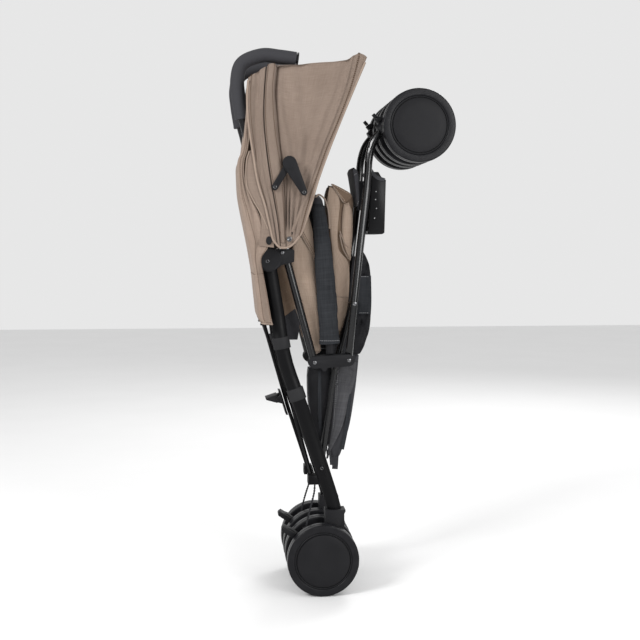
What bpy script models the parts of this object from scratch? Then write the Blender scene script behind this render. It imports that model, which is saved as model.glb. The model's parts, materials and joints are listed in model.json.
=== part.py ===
"""Folding stroller with a two-fold frame, standing folded on its rear wheels.

Metres, +Z up. The front of the stroller is +X and the child's left is +Y. The origin is on the
floor under the middle of the whole folded stroller's box. Places are written in a working
frame whose X is zero at the rear axle, and SHIFT moves them to the origin when pieces are made.
"""

import math

import bmesh
import bpy
from mathutils import Matrix, Vector

MM = 0.001
GAP = 0.0003

# Widths across the folded stroller, from its middle plane
LEG_Y = 0.063
RAIL_Y = 0.040
WHEEL_Y = (0.098, 0.028)
CANOPY_Y = 0.105
CURTAIN_Y = 0.096

# Wheels, castors and axles
WHEEL_R = 0.074
WHEEL_W = 0.028
AXLE_R = 0.005
BORE_R = 0.0056
BLOCK_HALF_W = 0.017

# Pivots of the fold, as x and z
REAR_AXLE = (0.0, 0.074)
FRONT_AXLE = (0.192, 0.951)
HUB_PIVOT = (-0.110, 0.681)
ELBOW = (-0.0148, 0.475)
FRONT_PIVOT = (0.0555, 0.479)
RAIL_PIVOT = (0.0, 0.257)
RAIL_BOLT = (0.067, 0.594)
CASTOR = (0.130, 0.950)
CASTOR_ANGLE = math.radians(41.5)
CANOPY_PIVOT = (-0.068, 0.725)
PEDAL_PIVOT = (-0.028, 0.104)
FOLD_PEDAL_PIVOT = (-0.085, 0.393)
KNUCKLE = (-0.068, 0.874)
STRUT_REAR = (-0.0965, 0.827)
STRUT_FRONT = (-0.0394, 0.817)

# Tube and cord radii
HANDLE_R = 0.0085
GRIP_R = 0.0142
SIDE_TUBE_R = 0.008
FRONT_LEG_R = 0.008
RAIL_R = 0.007
ROD_R = 0.004
CABLE_R = 0.0022
BOW_R = 0.004
LEG_HALF = (0.015, 0.009)

# From the working frame to the middle of the folded box, and to the flats under the wheels
SHIFT = Vector((-0.041676, 0.0, -0.000465))

COLOURS = {
    "frame_black": ((0.018, 0.018, 0.019), 0.42, 0.0),
    "plastic_black": ((0.022, 0.022, 0.024), 0.55, 0.0),
    "tyre_black": ((0.030, 0.030, 0.032), 0.75, 0.0),
    "rim_grey": ((0.045, 0.045, 0.048), 0.45, 0.0),
    "foam_black": ((0.020, 0.020, 0.022), 0.9, 0.0),
    "steel": ((0.45, 0.45, 0.46), 0.35, 1.0),
    "fabric_tan": ((0.36, 0.27, 0.21), 0.9, 0.0),
    "fabric_black": ((0.024, 0.024, 0.026), 0.9, 0.0),
}


def material(name):
    """Return the named material, made on first use."""
    found = bpy.data.materials.get(name)
    if found:
        return found
    made = bpy.data.materials.new(name)
    made.use_nodes = True
    shader = made.node_tree.nodes["Principled BSDF"]
    colour, rough, metal = COLOURS[name]
    shader.inputs["Base Color"].default_value = (*colour, 1.0)
    shader.inputs["Roughness"].default_value = rough
    shader.inputs["Metallic"].default_value = metal
    return made


def add_object(name, bm, finish, origin=(0.0, 0.0, 0.0), smooth=35.0):
    """Make an object from a bmesh in world places, with its origin moved to the given point."""
    start = Vector(origin)
    bmesh.ops.translate(bm, verts=bm.verts, vec=-start)
    mesh = bpy.data.meshes.new(name)
    bm.to_mesh(mesh)
    bm.free()
    mesh.materials.append(material(finish))
    if smooth:
        mesh.shade_smooth()
        mesh.set_sharp_from_angle(angle=math.radians(smooth))
    obj = bpy.data.objects.new(name, mesh)
    obj.location = start + SHIFT
    bpy.context.scene.collection.objects.link(obj)
    return obj


def at(point, y=0.0):
    """Give a pivot written as x and z its place in space."""
    return (point[0], y, point[1])


def mm(points):
    """Change a list of points from millimetres to metres."""
    return [tuple(value * MM for value in point) for point in points]


def close_mesh(bm):
    """Point every face of a closed mesh outwards."""
    bmesh.ops.recalc_face_normals(bm, faces=bm.faces)
    return bm


def prism(bm, outline, low_y, high_y):
    """Add a flat outline in x and z, extruded across y."""
    near = [bm.verts.new((x, low_y, z)) for x, z in outline]
    face = bm.faces.new(near)
    grown = bmesh.ops.extrude_face_region(bm, geom=[face])
    far = [item for item in grown["geom"] if isinstance(item, bmesh.types.BMVert)]
    bmesh.ops.translate(bm, verts=far, vec=(0.0, high_y - low_y, 0.0))
    return bm


def arc(centre, radius, start, end, steps):
    """Points on an arc in x and z, between two angles in degrees."""
    points = []
    for i in range(steps + 1):
        angle = math.radians(start + (end - start) * i / steps)
        points.append((centre[0] + radius * math.cos(angle), centre[1] + radius * math.sin(angle)))
    return points


def capsule(start, end, r_start, r_end, steps=6):
    """Outline of a link with round ends between two points in x and z."""
    lean = math.degrees(math.atan2(end[1] - start[1], end[0] - start[0]))
    first = arc(start, r_start, lean + 90, lean + 270, steps)
    return first + arc(end, r_end, lean - 90, lean + 90, steps)


def smooth_path(points, per_span):
    """Points on a Catmull-Rom curve through the given ones."""
    knots = [Vector(p) for p in points]
    knots = [2 * knots[0] - knots[1]] + knots + [2 * knots[-1] - knots[-2]]
    path = []
    for i in range(1, len(knots) - 2):
        p0, p1, p2, p3 = knots[i - 1:i + 3]
        for step in range(per_span):
            t = step / per_span
            path.append(0.5 * (2 * p1 + (p2 - p0) * t + (2 * p0 - 5 * p1 + 4 * p2 - p3) * t * t
                               + (3 * p1 - p0 - 3 * p2 + p3) * t ** 3))
    path.append(knots[-2])
    return path


def ellipse(half_u, half_v, sides):
    """A section for a sweep: u lies in the x-z plane and v lies across it."""
    turn = math.tau / sides
    return [(half_u * math.cos(turn * (i + 0.5)), half_v * math.sin(turn * (i + 0.5)))
            for i in range(sides)]


def rings(bm, path, sections):
    """Add one ring of vertices at each point of a path, square to it."""
    made = []
    side = None
    for i, point in enumerate(path):
        ahead = path[min(i + 1, len(path) - 1)]
        behind = path[max(i - 1, 0)]
        along = (ahead - behind).normalized()
        if side is None:
            side = Vector((0.0, 1.0, 0.0)).cross(along)
            if side.length < 0.1:
                side = Vector((1.0, 0.0, 0.0))
        side = (side - along * side.dot(along)).normalized()
        across = along.cross(side)
        section = sections[i] if isinstance(sections[0], list) else sections
        made.append([bm.verts.new(point + side * u + across * v) for u, v in section])
    return made


def skin(bm, loops):
    """Join each ring to the next with faces."""
    for a, b in zip(loops, loops[1:]):
        for i in range(len(a)):
            j = (i + 1) % len(a)
            bm.faces.new((a[i], a[j], b[j], b[i]))


def sweep(bm, path, sections):
    """Add a solid bar: a section, or a list of one section for each point, along a path."""
    loops = rings(bm, [Vector(p) for p in path], sections)
    skin(bm, loops)
    bm.faces.new(list(reversed(loops[0])))
    bm.faces.new(loops[-1])
    return bm


def sleeve(bm, path, outer, inner):
    """Add a hollow bar that is open at both ends."""
    places = [Vector(p) for p in path]
    out_loops = rings(bm, places, outer)
    in_loops = rings(bm, places, inner)
    skin(bm, out_loops)
    skin(bm, [list(reversed(loop)) for loop in in_loops])
    for o, n in ((out_loops[0], in_loops[0]), (out_loops[-1], in_loops[-1])):
        for i in range(len(o)):
            j = (i + 1) % len(o)
            bm.faces.new((o[i], n[i], n[j], o[j]))
    return bm


def lathe(bm, centre, profile, segments):
    """Revolve a closed profile of radius and y about the line along Y through x and z."""
    loops = []
    for k in range(segments):
        angle = math.tau * (k + 0.5) / segments
        c, s = math.cos(angle), math.sin(angle)
        loops.append([bm.verts.new((centre[0] + r * c, y, centre[1] + r * s)) for r, y in profile])
    skin(bm, loops + [loops[0]])
    return bm


def disc(bm, centre, radius, low_y, high_y, sides=12):
    """Add a short cylinder that lies along Y."""
    outline = arc(centre, radius, 180 / sides, 360 - 180 / sides, sides - 1)
    return prism(bm, outline, low_y, high_y)


def rod(bm, start, end, radius, sides=10):
    """Add a straight round bar between two points in space."""
    return sweep(bm, [Vector(start), Vector(end)], ellipse(radius, radius, sides))


def boolean(target, bm, operation):
    """Cut or join a shape to an object with a hidden helper and the exact solver."""
    close_mesh(bm)
    helper = add_object(target.name + "_helper", bm, "steel", smooth=0)
    modifier = target.modifiers.new("shape", "BOOLEAN")
    modifier.operation = operation
    modifier.solver = "EXACT"
    modifier.object = helper
    helper.hide_render = True
    helper.display_type = "WIRE"


def soften(obj, width, segments=1, angle=40.0):
    """Round the sharp edges of a moulded piece."""
    bevel = obj.modifiers.new("soften", "BEVEL")
    bevel.width = width
    bevel.segments = segments
    bevel.limit_method = "ANGLE"
    bevel.angle_limit = math.radians(angle)
    bevel.use_clamp_overlap = True


def mirrored(band, side):
    """Return low and high y of a band given from the middle outwards, on one side."""
    low, high = band
    return (-high, -low) if side < 0 else (low, high)


SIDES = (("right", -1), ("left", 1))

# Rear leg centreline in x and z, from the hub down to its block, in millimetres
LEG_LINE = mm([(-108, 0, 681), (-104, 0, 660), (-91, 0, 582), (-83, 0, 523), (-72, 0, 471),
               (-56, 0, 424), (-39.5, 0, 377), (-24, 0, 329), (-7, 0, 281), (16, 0, 209),
               (26.5, 0, 171), (30, 0, 148)])
HANDLE_LINE = mm([(-111, 0, 722.4), (-128, 0, 803), (-149, 0, 923), (-157, 0, 956),
                  (-161.5, 0, 975), (-166, 0, 1005), (-168.5, 0, 1040), (-158, 0, 1072),
                  (-120, 0, 1088), (-84, 0, 1086), (-51, 0, 1082)])
FRONT_LINE = mm([(55, 0, 469), (67, 0, 594), (79, 0, 707), (93, 0, 825), (96, 0, 880),
                 (101, 0, 908), (109, 0, 927), (118.5, 0, 939.6)])
RAIL_LINE = mm([(-1.5, 0, 249), (4, 0, 277), (18, 0, 369), (30, 0, 456), (69, 0, 602)])
TUBE_TOP = (-0.068, 0.676)


def on_side(line, y):
    """Move a centreline written in the middle plane out to one side."""
    return [(x, y, z) for x, _, z in line]


def across(bm, centre, radius, inner, outer, sign, sides=10):
    """Add a cylinder along Y between two distances from the middle plane, on one side."""
    return disc(bm, centre, radius, *mirrored((inner, outer), sign), sides)


def leg_path(sign):
    """Smooth centreline of a rear leg."""
    return smooth_path(on_side(LEG_LINE, sign * LEG_Y), 2)


def rear_leg(side, sign):
    """Wide oval rear leg with its two moulded bands and the screw that carries the rail."""
    bm = bmesh.new()
    sweep(bm, leg_path(sign), ellipse(*LEG_HALF, 12))
    leg = add_object(f"rear_leg_{side}", close_mesh(bm), "frame_black",
                     at(HUB_PIVOT, sign * LEG_Y))
    for top, foot in (((-83.5, 526), (-79.5, 503)), ((-55, 421), (-47, 397.5))):
        ends = [Vector((x * MM, sign * LEG_Y, z * MM)) for x, z in (top, foot)]
        band = sweep(bmesh.new(), ends, ellipse(LEG_HALF[0] + 0.003, LEG_HALF[1] + 0.0025, 12))
        boolean(leg, band, "UNION")
    screw = across(bmesh.new(), RAIL_PIVOT, 0.0045, RAIL_Y + 0.0075, LEG_Y + 0.0118, sign)
    boolean(leg, screw, "UNION")


def rear_block(side, sign):
    """Moulded block that holds the leg's foot, the rear axle and the brake pedal."""
    low, high = sorted((sign * (LEG_Y - BLOCK_HALF_W), sign * (LEG_Y + BLOCK_HALF_W)))
    outline = mm([(7, 171), (48.5, 171), (48.5, 167), (46, 163), (46, 128), (36, 104)])
    outline += arc(REAR_AXLE, 0.017, 20, -150, 7)
    outline += mm([(-22, 92)]) + arc(PEDAL_PIVOT, 0.008, -100, -220, 5)
    outline += mm([(-38, 128), (-26, 131), (-14, 120), (7, 126)])
    bm = prism(bmesh.new(), outline, low, high)
    block = add_object(f"rear_block_{side}", close_mesh(bm), "plastic_black")
    path = leg_path(sign)[-5:]
    path[-1] = path[-1] + (path[-1] - path[-2]).normalized() * GAP
    socket = sweep(bmesh.new(), path, ellipse(LEG_HALF[0] + 0.0006, LEG_HALF[1] + 0.0005, 12))
    boolean(block, socket, "DIFFERENCE")
    boolean(block, disc(bmesh.new(), REAR_AXLE, AXLE_R + 0.0003, low - 0.01, high + 0.01, 12),
            "DIFFERENCE")
    slot = prism(bmesh.new(), mm([(-60, 80), (-18, 80), (-14, 100), (-14, 118), (-60, 118)]),
                 sign * LEG_Y - 0.0105, sign * LEG_Y + 0.0105)
    boolean(block, slot, "DIFFERENCE")
    boolean(block, disc(bmesh.new(), PEDAL_PIVOT, 0.0035, low - 0.01, high + 0.01, 10),
            "DIFFERENCE")


def axle(name, centre, sign):
    """Steel axle through a block, with a wheel's place at each end."""
    bm = across(bmesh.new(), centre, AXLE_R, WHEEL_Y[1] - 0.011, WHEEL_Y[0] + 0.011, sign, 12)
    add_object(name, close_mesh(bm), "steel", at(centre, sign * LEG_Y))


def brake_pedal(side, sign):
    """Foot pedal that tips about its own stub pin in the rear block."""
    outline = arc(PEDAL_PIVOT, 0.006, 60, -100, 5) + mm([(-42, 104), (-74, 124)])
    outline += arc((-0.0768, 0.131), 0.006, -120, -260, 4) + mm([(-60, 130), (-42, 116)])
    bm = prism(bmesh.new(), outline, sign * LEG_Y - 0.0098, sign * LEG_Y + 0.0098)
    pedal = add_object(f"brake_pedal_{side}", close_mesh(bm), "plastic_black",
                       at(PEDAL_PIVOT, sign * LEG_Y))
    boolean(pedal, disc(bmesh.new(), PEDAL_PIVOT, 0.003, sign * LEG_Y - 0.0165,
                        sign * LEG_Y + 0.0165, 10), "UNION")
    tread = prism(bmesh.new(), mm([(-52, 122), (-76, 137), (-80, 134), (-78, 126), (-56, 112)]),
                  sign * LEG_Y - 0.016, sign * LEG_Y + 0.016)
    boolean(pedal, tread, "UNION")


def brake_cable(side, sign):
    """Twisted brake cable from the block's ear up to the brace's lower bracket."""
    line = [(-31, 132), (-30, 140), (-26, 158), (-20, 180), (-14, 202), (-12, 220)]
    ys = [LEG_Y, LEG_Y, LEG_Y - 0.001, LEG_Y - 0.004, LEG_Y - 0.010, LEG_Y - 0.013]
    curve = bpy.data.curves.new(f"brake_cable_{side}", "CURVE")
    curve.dimensions = "3D"
    curve.bevel_depth = CABLE_R
    curve.bevel_resolution = 2
    curve.use_fill_caps = True
    path = smooth_path([(x * MM, sign * y, z * MM) for (x, z), y in zip(line, ys)], 3)
    spline = curve.splines.new("POLY")
    spline.points.add(len(path) - 1)
    for knot, place in zip(spline.points, path):
        knot.co = (*place, 1.0)
    curve.materials.append(material("plastic_black"))
    cable = bpy.data.objects.new(f"brake_cable_{side}", curve)
    cable.location = SHIFT
    bpy.context.scene.collection.objects.link(cable)


def rear_brace():
    """Crossed rear rods with a bracket at each end, and the latch plate at their crossing."""
    for name, sign, step in (("brace_rod_right", -1, -0.0047), ("brace_rod_left", 1, 0.0047)):
        ends = [(-0.117, sign * 0.046, 0.556), (-0.060 + step, 0.0, 0.375),
                (-0.0185, -sign * 0.040, 0.234)]
        bm = sweep(bmesh.new(), [Vector(p) for p in ends], ellipse(ROD_R, ROD_R, 10))
        brace = add_object(name, close_mesh(bm), "frame_black")
        top = prism(bmesh.new(), mm([(-124, 551), (-102.7, 551), (-105.4, 572), (-117, 572)]),
                    *mirrored((0.041, 0.066), sign))
        boolean(brace, top, "UNION")
        foot = prism(bmesh.new(), mm([(-27, 221), (-4.4, 221), (-10.2, 240), (-27, 240)]),
                     *mirrored((0.036, 0.064), -sign))
        boolean(brace, foot, "UNION")
    outline = mm([(-85, 410), (-74.3, 375), (-69.6, 360), (-65, 360), (-69.7, 375), (-80.4, 410)])
    bm = prism(bmesh.new(), outline, -0.020, 0.020)
    plate = add_object("latch_plate", close_mesh(bm), "plastic_black")
    lugs = mm([(-75, 384), (-79.5, 402), (-88, 398), (-90, 392), (-86, 387)])
    for low in (-0.0275, 0.0225):
        boolean(plate, prism(bmesh.new(), lugs, low, low + 0.005), "UNION")
    bar = mm([(-79.3, 387), (-76, 387), (-79.2, 398), (-82.6, 398)])
    boolean(plate, prism(bmesh.new(), bar, -0.0272, 0.0272), "UNION")
    boolean(plate, disc(bmesh.new(), FOLD_PEDAL_PIVOT, 0.0026, -0.03, 0.03, 8), "DIFFERENCE")


def fold_pedal():
    """Wedge-shaped pedal at the back that the foot pushes to release the frame."""
    outline = mm([(-112, 394.5), (-110, 391.5), (-88, 385.5), (-83.6, 388), (-84.6, 398.5),
                  (-89, 402)])
    bm = prism(bmesh.new(), outline, -0.0218, 0.0218)
    pedal = add_object("fold_pedal", close_mesh(bm), "plastic_black", at(FOLD_PEDAL_PIVOT))
    boolean(pedal, disc(bmesh.new(), FOLD_PEDAL_PIVOT, 0.002, -0.0272, 0.0272, 8), "UNION")


def hub(side, sign):
    """Clevis moulding that joins the handle tube to the side tube and turns on the rear leg."""
    centre = (-0.106, 0.684)
    outline = arc(centre, 0.025, -75, -222, 10)
    outline += mm([(-123.5, 709), (-123.7, 718.8), (-98.3, 724.2)]) + arc((-0.0865, 0.700), 0.006, 150, 60, 3)
    outline += mm([(-61, 705.5)]) + arc((-0.061, 0.700), 0.0055, 60, -20, 3)
    outline += mm([(-56.4, 679.6), (-79.6, 673.4), (-84, 671)])
    band = mirrored((LEG_Y - 0.0150, LEG_Y + 0.0155), sign)
    bm = prism(bmesh.new(), outline, *band)
    body = add_object(f"hub_{side}", close_mesh(bm), "plastic_black", at(HUB_PIVOT, sign * LEG_Y))
    slot = prism(bmesh.new(), mm([(-150, 640), (-70, 640), (-83, 668), (-92, 688), (-92.5, 701),
                                  (-150, 701)]),
                 sign * LEG_Y - 0.0096, sign * LEG_Y + 0.0096)
    boolean(body, slot, "DIFFERENCE")
    screw = bmesh.new()
    low, high = sorted((sign * (LEG_Y + 0.015), sign * (LEG_Y + 0.0175)))
    disc(screw, HUB_PIVOT, 0.0045, low, high, 10)
    disc(screw, (-0.080, 0.698), 0.0035, low, high, 10)
    boolean(body, screw, "UNION")


def handle(side, sign):
    """Bent handle tube with its end cap, and the foam grip over its hooked end."""
    path = smooth_path(on_side(HANDLE_LINE, sign * LEG_Y), 2)
    path = [Vector((p.x, sign * (LEG_Y + 0.012 * min(1.0, max(0.0, (p.z - 0.80) / 0.16))), p.z))
            for p in path]
    ahead = (path[-1] - path[-3]).normalized()
    ends = [path[-1] + ahead * step for step in (0.0003, 0.0006, 0.004)]
    thin, wide = (ellipse(r, r, 10) for r in (HANDLE_R, GRIP_R - 0.0008))
    bm = sweep(bmesh.new(), path + ends, [thin] * (len(path) + 1) + [wide] * 2)
    add_object(f"handle_tube_{side}", close_mesh(bm), "frame_black")
    bm = bmesh.new()
    start = next(i for i, p in enumerate(path) if p.z > 0.962)
    foam = path[start:]
    sleeve(bm, foam, ellipse(GRIP_R, GRIP_R, 12), ellipse(HANDLE_R + 0.0007, HANDLE_R + 0.0007, 12))
    add_object(f"grip_{side}", close_mesh(bm), "foam_black")


def side_tube(side, sign):
    """Round tube from the hub down to the elbow plates."""
    lean = Vector(at(ELBOW)) - Vector(at(TUBE_TOP))
    unit = lean.normalized()
    start = Vector(at(TUBE_TOP, sign * LEG_Y)) + unit * GAP
    end = Vector(at(ELBOW, sign * LEG_Y)) + unit * 0.009
    bm = sweep(bmesh.new(), [start, end], ellipse(SIDE_TUBE_R, SIDE_TUBE_R, 12))
    add_object(f"side_tube_{side}", close_mesh(bm), "frame_black")


def elbow(side, sign):
    """Clevis of two rounded plates that carries the front leg's pivot on the side tube's foot."""
    outline = capsule(ELBOW, FRONT_PIVOT, 0.0125, 0.0122, 6)
    tab = mm([(-2, 463.5), (3, 457), (8, 456.5), (12, 464)])
    half = len(outline) // 2
    outline = outline[:half] + tab + outline[half:]
    outer = LEG_Y + SIDE_TUBE_R + GAP
    inner = LEG_Y - SIDE_TUBE_R - GAP
    bm = prism(bmesh.new(), outline, *mirrored((outer, outer + 0.0055), sign))
    clevis = add_object(f"elbow_{side}", close_mesh(bm), "plastic_black")
    plate = prism(bmesh.new(), outline, *mirrored((inner - 0.005, inner), sign))
    boolean(clevis, plate, "UNION")
    spacer = across(bmesh.new(), (0.020, 0.477), 0.007, inner - 0.002, outer + 0.002, sign)
    boolean(clevis, spacer, "UNION")
    for centre in (ELBOW, FRONT_PIVOT):
        boolean(clevis, across(bmesh.new(), centre, 0.004, outer + 0.004, outer + 0.0077, sign),
                "UNION")


def front_leg(side, sign):
    """Front leg, bent at its end to meet the castor."""
    path = smooth_path(on_side(FRONT_LINE, sign * LEG_Y), 2)
    bm = sweep(bmesh.new(), path, ellipse(FRONT_LEG_R, FRONT_LEG_R, 12))
    leg = add_object(f"front_leg_{side}", close_mesh(bm), "frame_black",
                     at(FRONT_PIVOT, sign * LEG_Y))
    bolt = across(bmesh.new(), RAIL_BOLT, 0.0042, RAIL_Y + 0.0075, LEG_Y + 0.011, sign)
    boolean(leg, bolt, "UNION")


def side_rail(side, sign):
    """Lower rail that links the rear leg to the front leg and carries the basket."""
    path = smooth_path(on_side(RAIL_LINE, sign * RAIL_Y), 2)
    bm = sweep(bmesh.new(), path, ellipse(RAIL_R, RAIL_R, 10))
    add_object(f"side_rail_{side}", close_mesh(bm), "frame_black", at(RAIL_PIVOT, sign * RAIL_Y))


def along_castor(distance, across=0.0):
    """Place in x and z at a distance along the castor's stem and across it."""
    c, s = math.cos(CASTOR_ANGLE), math.sin(CASTOR_ANGLE)
    return (CASTOR[0] + distance * c + across * s, CASTOR[1] + distance * s - across * c)


def castor(side, sign):
    """Fixed castor socket, and the fork that turns below it with the arm for its swivel lock."""
    y = sign * LEG_Y
    bm = bmesh.new()
    start, end = at(along_castor(-0.014), y), at(along_castor(0.008), y)
    rod(bm, start, end, 0.0155, 16)
    add_object(f"castor_socket_{side}", close_mesh(bm), "plastic_black", at(CASTOR, y))
    outline = [along_castor(0.0086, 0.016), along_castor(0.0086, -0.015), along_castor(0.016, -0.015)]
    outline += [along_castor(0.030, -0.010)] + arc(FRONT_AXLE, 0.015, 140, -130, 8)
    outline += [along_castor(0.020, 0.030)]
    bm = prism(bmesh.new(), outline, y - BLOCK_HALF_W, y + BLOCK_HALF_W)
    fork = add_object(f"castor_fork_{side}", close_mesh(bm), "plastic_black", at(CASTOR, y))
    boolean(fork, disc(bmesh.new(), FRONT_AXLE, AXLE_R + 0.0003, y - 0.05, y + 0.05, 12),
            "DIFFERENCE")
    arm = [along_castor(0.0095, -0.010), along_castor(0.0095, -0.0168), along_castor(-0.006, -0.0168),
           along_castor(-0.006, -0.026), along_castor(0.003, -0.026), along_castor(0.017, -0.019),
           along_castor(0.020, -0.010)]
    boolean(fork, prism(bmesh.new(), arm, y - 0.006, y + 0.006), "UNION")
    axle(f"front_axle_{side}", FRONT_AXLE, sign)


def swivel_lock(side, sign):
    """Small lever on the castor fork that locks the castor straight."""
    outline = [along_castor(-0.004, -0.0264), along_castor(-0.004, -0.037),
               along_castor(0.002, -0.037), along_castor(0.002, -0.0264)]
    bm = prism(bmesh.new(), outline, *mirrored((LEG_Y - 0.005, LEG_Y + 0.005), sign))
    add_object(f"swivel_lock_{side}", close_mesh(bm), "plastic_black")


def wheel(name, centre, sign, y):
    """Moulded wheel: a round-shouldered tyre on a dished disc."""
    half = WHEEL_W / 2
    out = 1 if y == WHEEL_Y[0] else -1
    profile = [(BORE_R, half - 0.001), (BORE_R, -half + 0.004), (0.046, -half + 0.004),
               (0.051, -half), (WHEEL_R - 0.006, -half), (WHEEL_R, -half + 0.006),
               (WHEEL_R, half - 0.006), (WHEEL_R - 0.006, half), (0.060, half),
               (0.0585, half - 0.0025), (0.0555, half - 0.0025), (0.0540, half - 0.0005)]
    placed = [(r, sign * (y + out * w)) for r, w in profile]
    bm = lathe(bmesh.new(), centre, placed, 28)
    add_object(name, close_mesh(bm), "tyre_black", at(centre, sign * y))


def footrest():
    """Shallow footrest tray and the calf strap, both between the front legs."""
    outline = mm([(105, 862), (118, 862), (124, 852), (133.5, 846), (131, 738), (126, 735.5),
                  (97, 735.5)])
    bm = prism(bmesh.new(), outline, -0.0545, 0.0545)
    tray = add_object("footrest", close_mesh(bm), "plastic_black")
    hollow = prism(bmesh.new(), mm([(85, 875), (85, 742), (126, 743), (128, 842), (119, 875)]),
                   -0.0505, 0.0505)
    boolean(tray, hollow, "DIFFERENCE")
    outline = mm([(59, 866), (65, 873), (84, 866), (83, 800), (73, 790), (70, 800), (75, 855)])
    bm = prism(bmesh.new(), outline, -0.0525, 0.0525)
    add_object("calf_strap", close_mesh(bm), "fabric_black")


def bumper_bar():
    """Padded bar over the seat, with a plug at each end."""
    right = [(17, 513), (13.5, 560), (10, 600), (5, 680), (-1, 745), (-5, 778)]
    line = [(x, -LEG_Y / MM, z) for x, z in right]
    line += [(-7, -52, 797), (-8, -28, 806), (-8, 0, 808), (-8, 28, 806), (-7, 52, 797)]
    line += [(x, LEG_Y / MM, z) for x, z in reversed(right)]
    path = smooth_path(mm(line), 2)
    widths = [0.019 - 0.007 * min(1.0, max(0.0, (p.z - 0.60) / 0.20)) for p in path]
    bm = sweep(bmesh.new(), path, [ellipse(w, 0.0115, 12) for w in widths])
    bar = add_object("bumper_bar", close_mesh(bm), "fabric_black")
    for sign in (-1, 1):
        plug = prism(bmesh.new(), mm([(10, 490.5), (29, 491), (27, 525), (8, 524)]),
                     sign * LEG_Y - 0.007, sign * LEG_Y + 0.007)
        boolean(bar, plug, "UNION")


def channel(bm, stations, half_y, wall, corner):
    """Add a bent sheet: each station runs up one side, over the top and down the other.

    A station is a list of x and z from its lowest point to the corner, and the sheet's wall
    goes inwards by its thickness.
    """
    outer, inner = [], []
    for line in stations:
        for loops, inset in ((outer, 0.0), (inner, wall)):
            across = half_y - inset
            tip, under = Vector(line[-1]), Vector(line[-2])
            down = (under - tip).normalized()
            top = tip + down * inset
            row = [(x, -across, z) for x, z in line[:-1]]
            shoulder = top + down * corner
            row += [(shoulder[0], -across, shoulder[1]), (top[0], -across + corner, top[1])]
            row += [(top[0], -across * 0.3, top[1])]
            row += [(x, -y, z) for x, y, z in reversed(row)]
            loops.append([bm.verts.new(p) for p in row])
    count = len(outer[0])
    for k in range(len(outer) - 1):
        for i in range(count - 1):
            bm.faces.new((outer[k][i], outer[k][i + 1], outer[k + 1][i + 1], outer[k + 1][i]))
            bm.faces.new((inner[k][i], inner[k + 1][i], inner[k + 1][i + 1], inner[k][i + 1]))
        for i in (0, count - 1):
            bm.faces.new((outer[k][i], outer[k + 1][i], inner[k + 1][i], inner[k][i]))
    for k in (0, len(outer) - 1):
        for i in range(count - 1):
            bm.faces.new((outer[k][i], inner[k][i], inner[k][i + 1], outer[k][i + 1]))
    return bm


def canopy():
    """Canopy cover and its two bows."""
    feet = [(-118, 800), (-112, 762), (-102, 728), (-92, 706), (-76, 703), (-60, 714), (-50, 742)]
    tops = [(-147, 1036), (-131, 1050), (-114, 1057), (-30, 1062), (43, 1076), (66, 1088), (88, 1087)]
    bulges = [(-152, 920), (-138, 920), (-112, 900), (-60, 890), (-18, 900), (2, 910), (14, 915)]
    stations = []
    for foot, bulge, tip in zip(feet, bulges, tops):
        a, b, c = (Vector((x * MM, z * MM)) for x, z in (foot, bulge, tip))
        stations.append([tuple(v) for v in (a, (a + b) / 2, b, (b + c) / 2, c)])
    bm = channel(bmesh.new(), stations, CANOPY_Y, 0.003, 0.014)
    add_object("canopy_cover", close_mesh(bm), "fabric_tan")
    for name, tip, arm in (("canopy_front_bow", (80, 1072), 0.0975),
                           ("canopy_rear_bow", (-103, 1044), 0.0885)):
        x, z = tip[0] * MM, tip[1] * MM
        ys = (-arm, -arm, -arm + 0.008, 0.0, arm - 0.008, arm, arm)
        rise = (0.0, 0.95, 1.0, 1.0, 1.0, 0.95, 0.0)
        path = [Vector((CANOPY_PIVOT[0] + (x - CANOPY_PIVOT[0]) * h, y,
                        CANOPY_PIVOT[1] + (z - CANOPY_PIVOT[1]) * h)) for y, h in zip(ys, rise)]
        bm = sweep(bmesh.new(), path, ellipse(BOW_R, BOW_R, 8))
        add_object(name, close_mesh(bm), "steel", at(CANOPY_PIVOT))


def canopy_strut(side, sign):
    """Two-armed strut outside the canopy: the rear arm, and the front arm with its knuckle."""
    bm = prism(bmesh.new(), capsule(STRUT_REAR, KNUCKLE, 0.0065, 0.0065, 5),
               *mirrored((CANOPY_Y + 0.0005, CANOPY_Y + 0.007), sign))
    add_object(f"strut_rear_{side}", close_mesh(bm), "plastic_black", at(KNUCKLE))
    bm = prism(bmesh.new(), capsule(STRUT_FRONT, KNUCKLE, 0.0065, 0.014, 7),
               *mirrored((CANOPY_Y + 0.0075, CANOPY_Y + 0.014), sign))
    front = add_object(f"strut_front_{side}", close_mesh(bm), "plastic_black", at(KNUCKLE))
    boolean(front, across(bmesh.new(), STRUT_FRONT, 0.0055, CANOPY_Y + 0.0005, CANOPY_Y + 0.009,
                          sign), "UNION")


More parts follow.
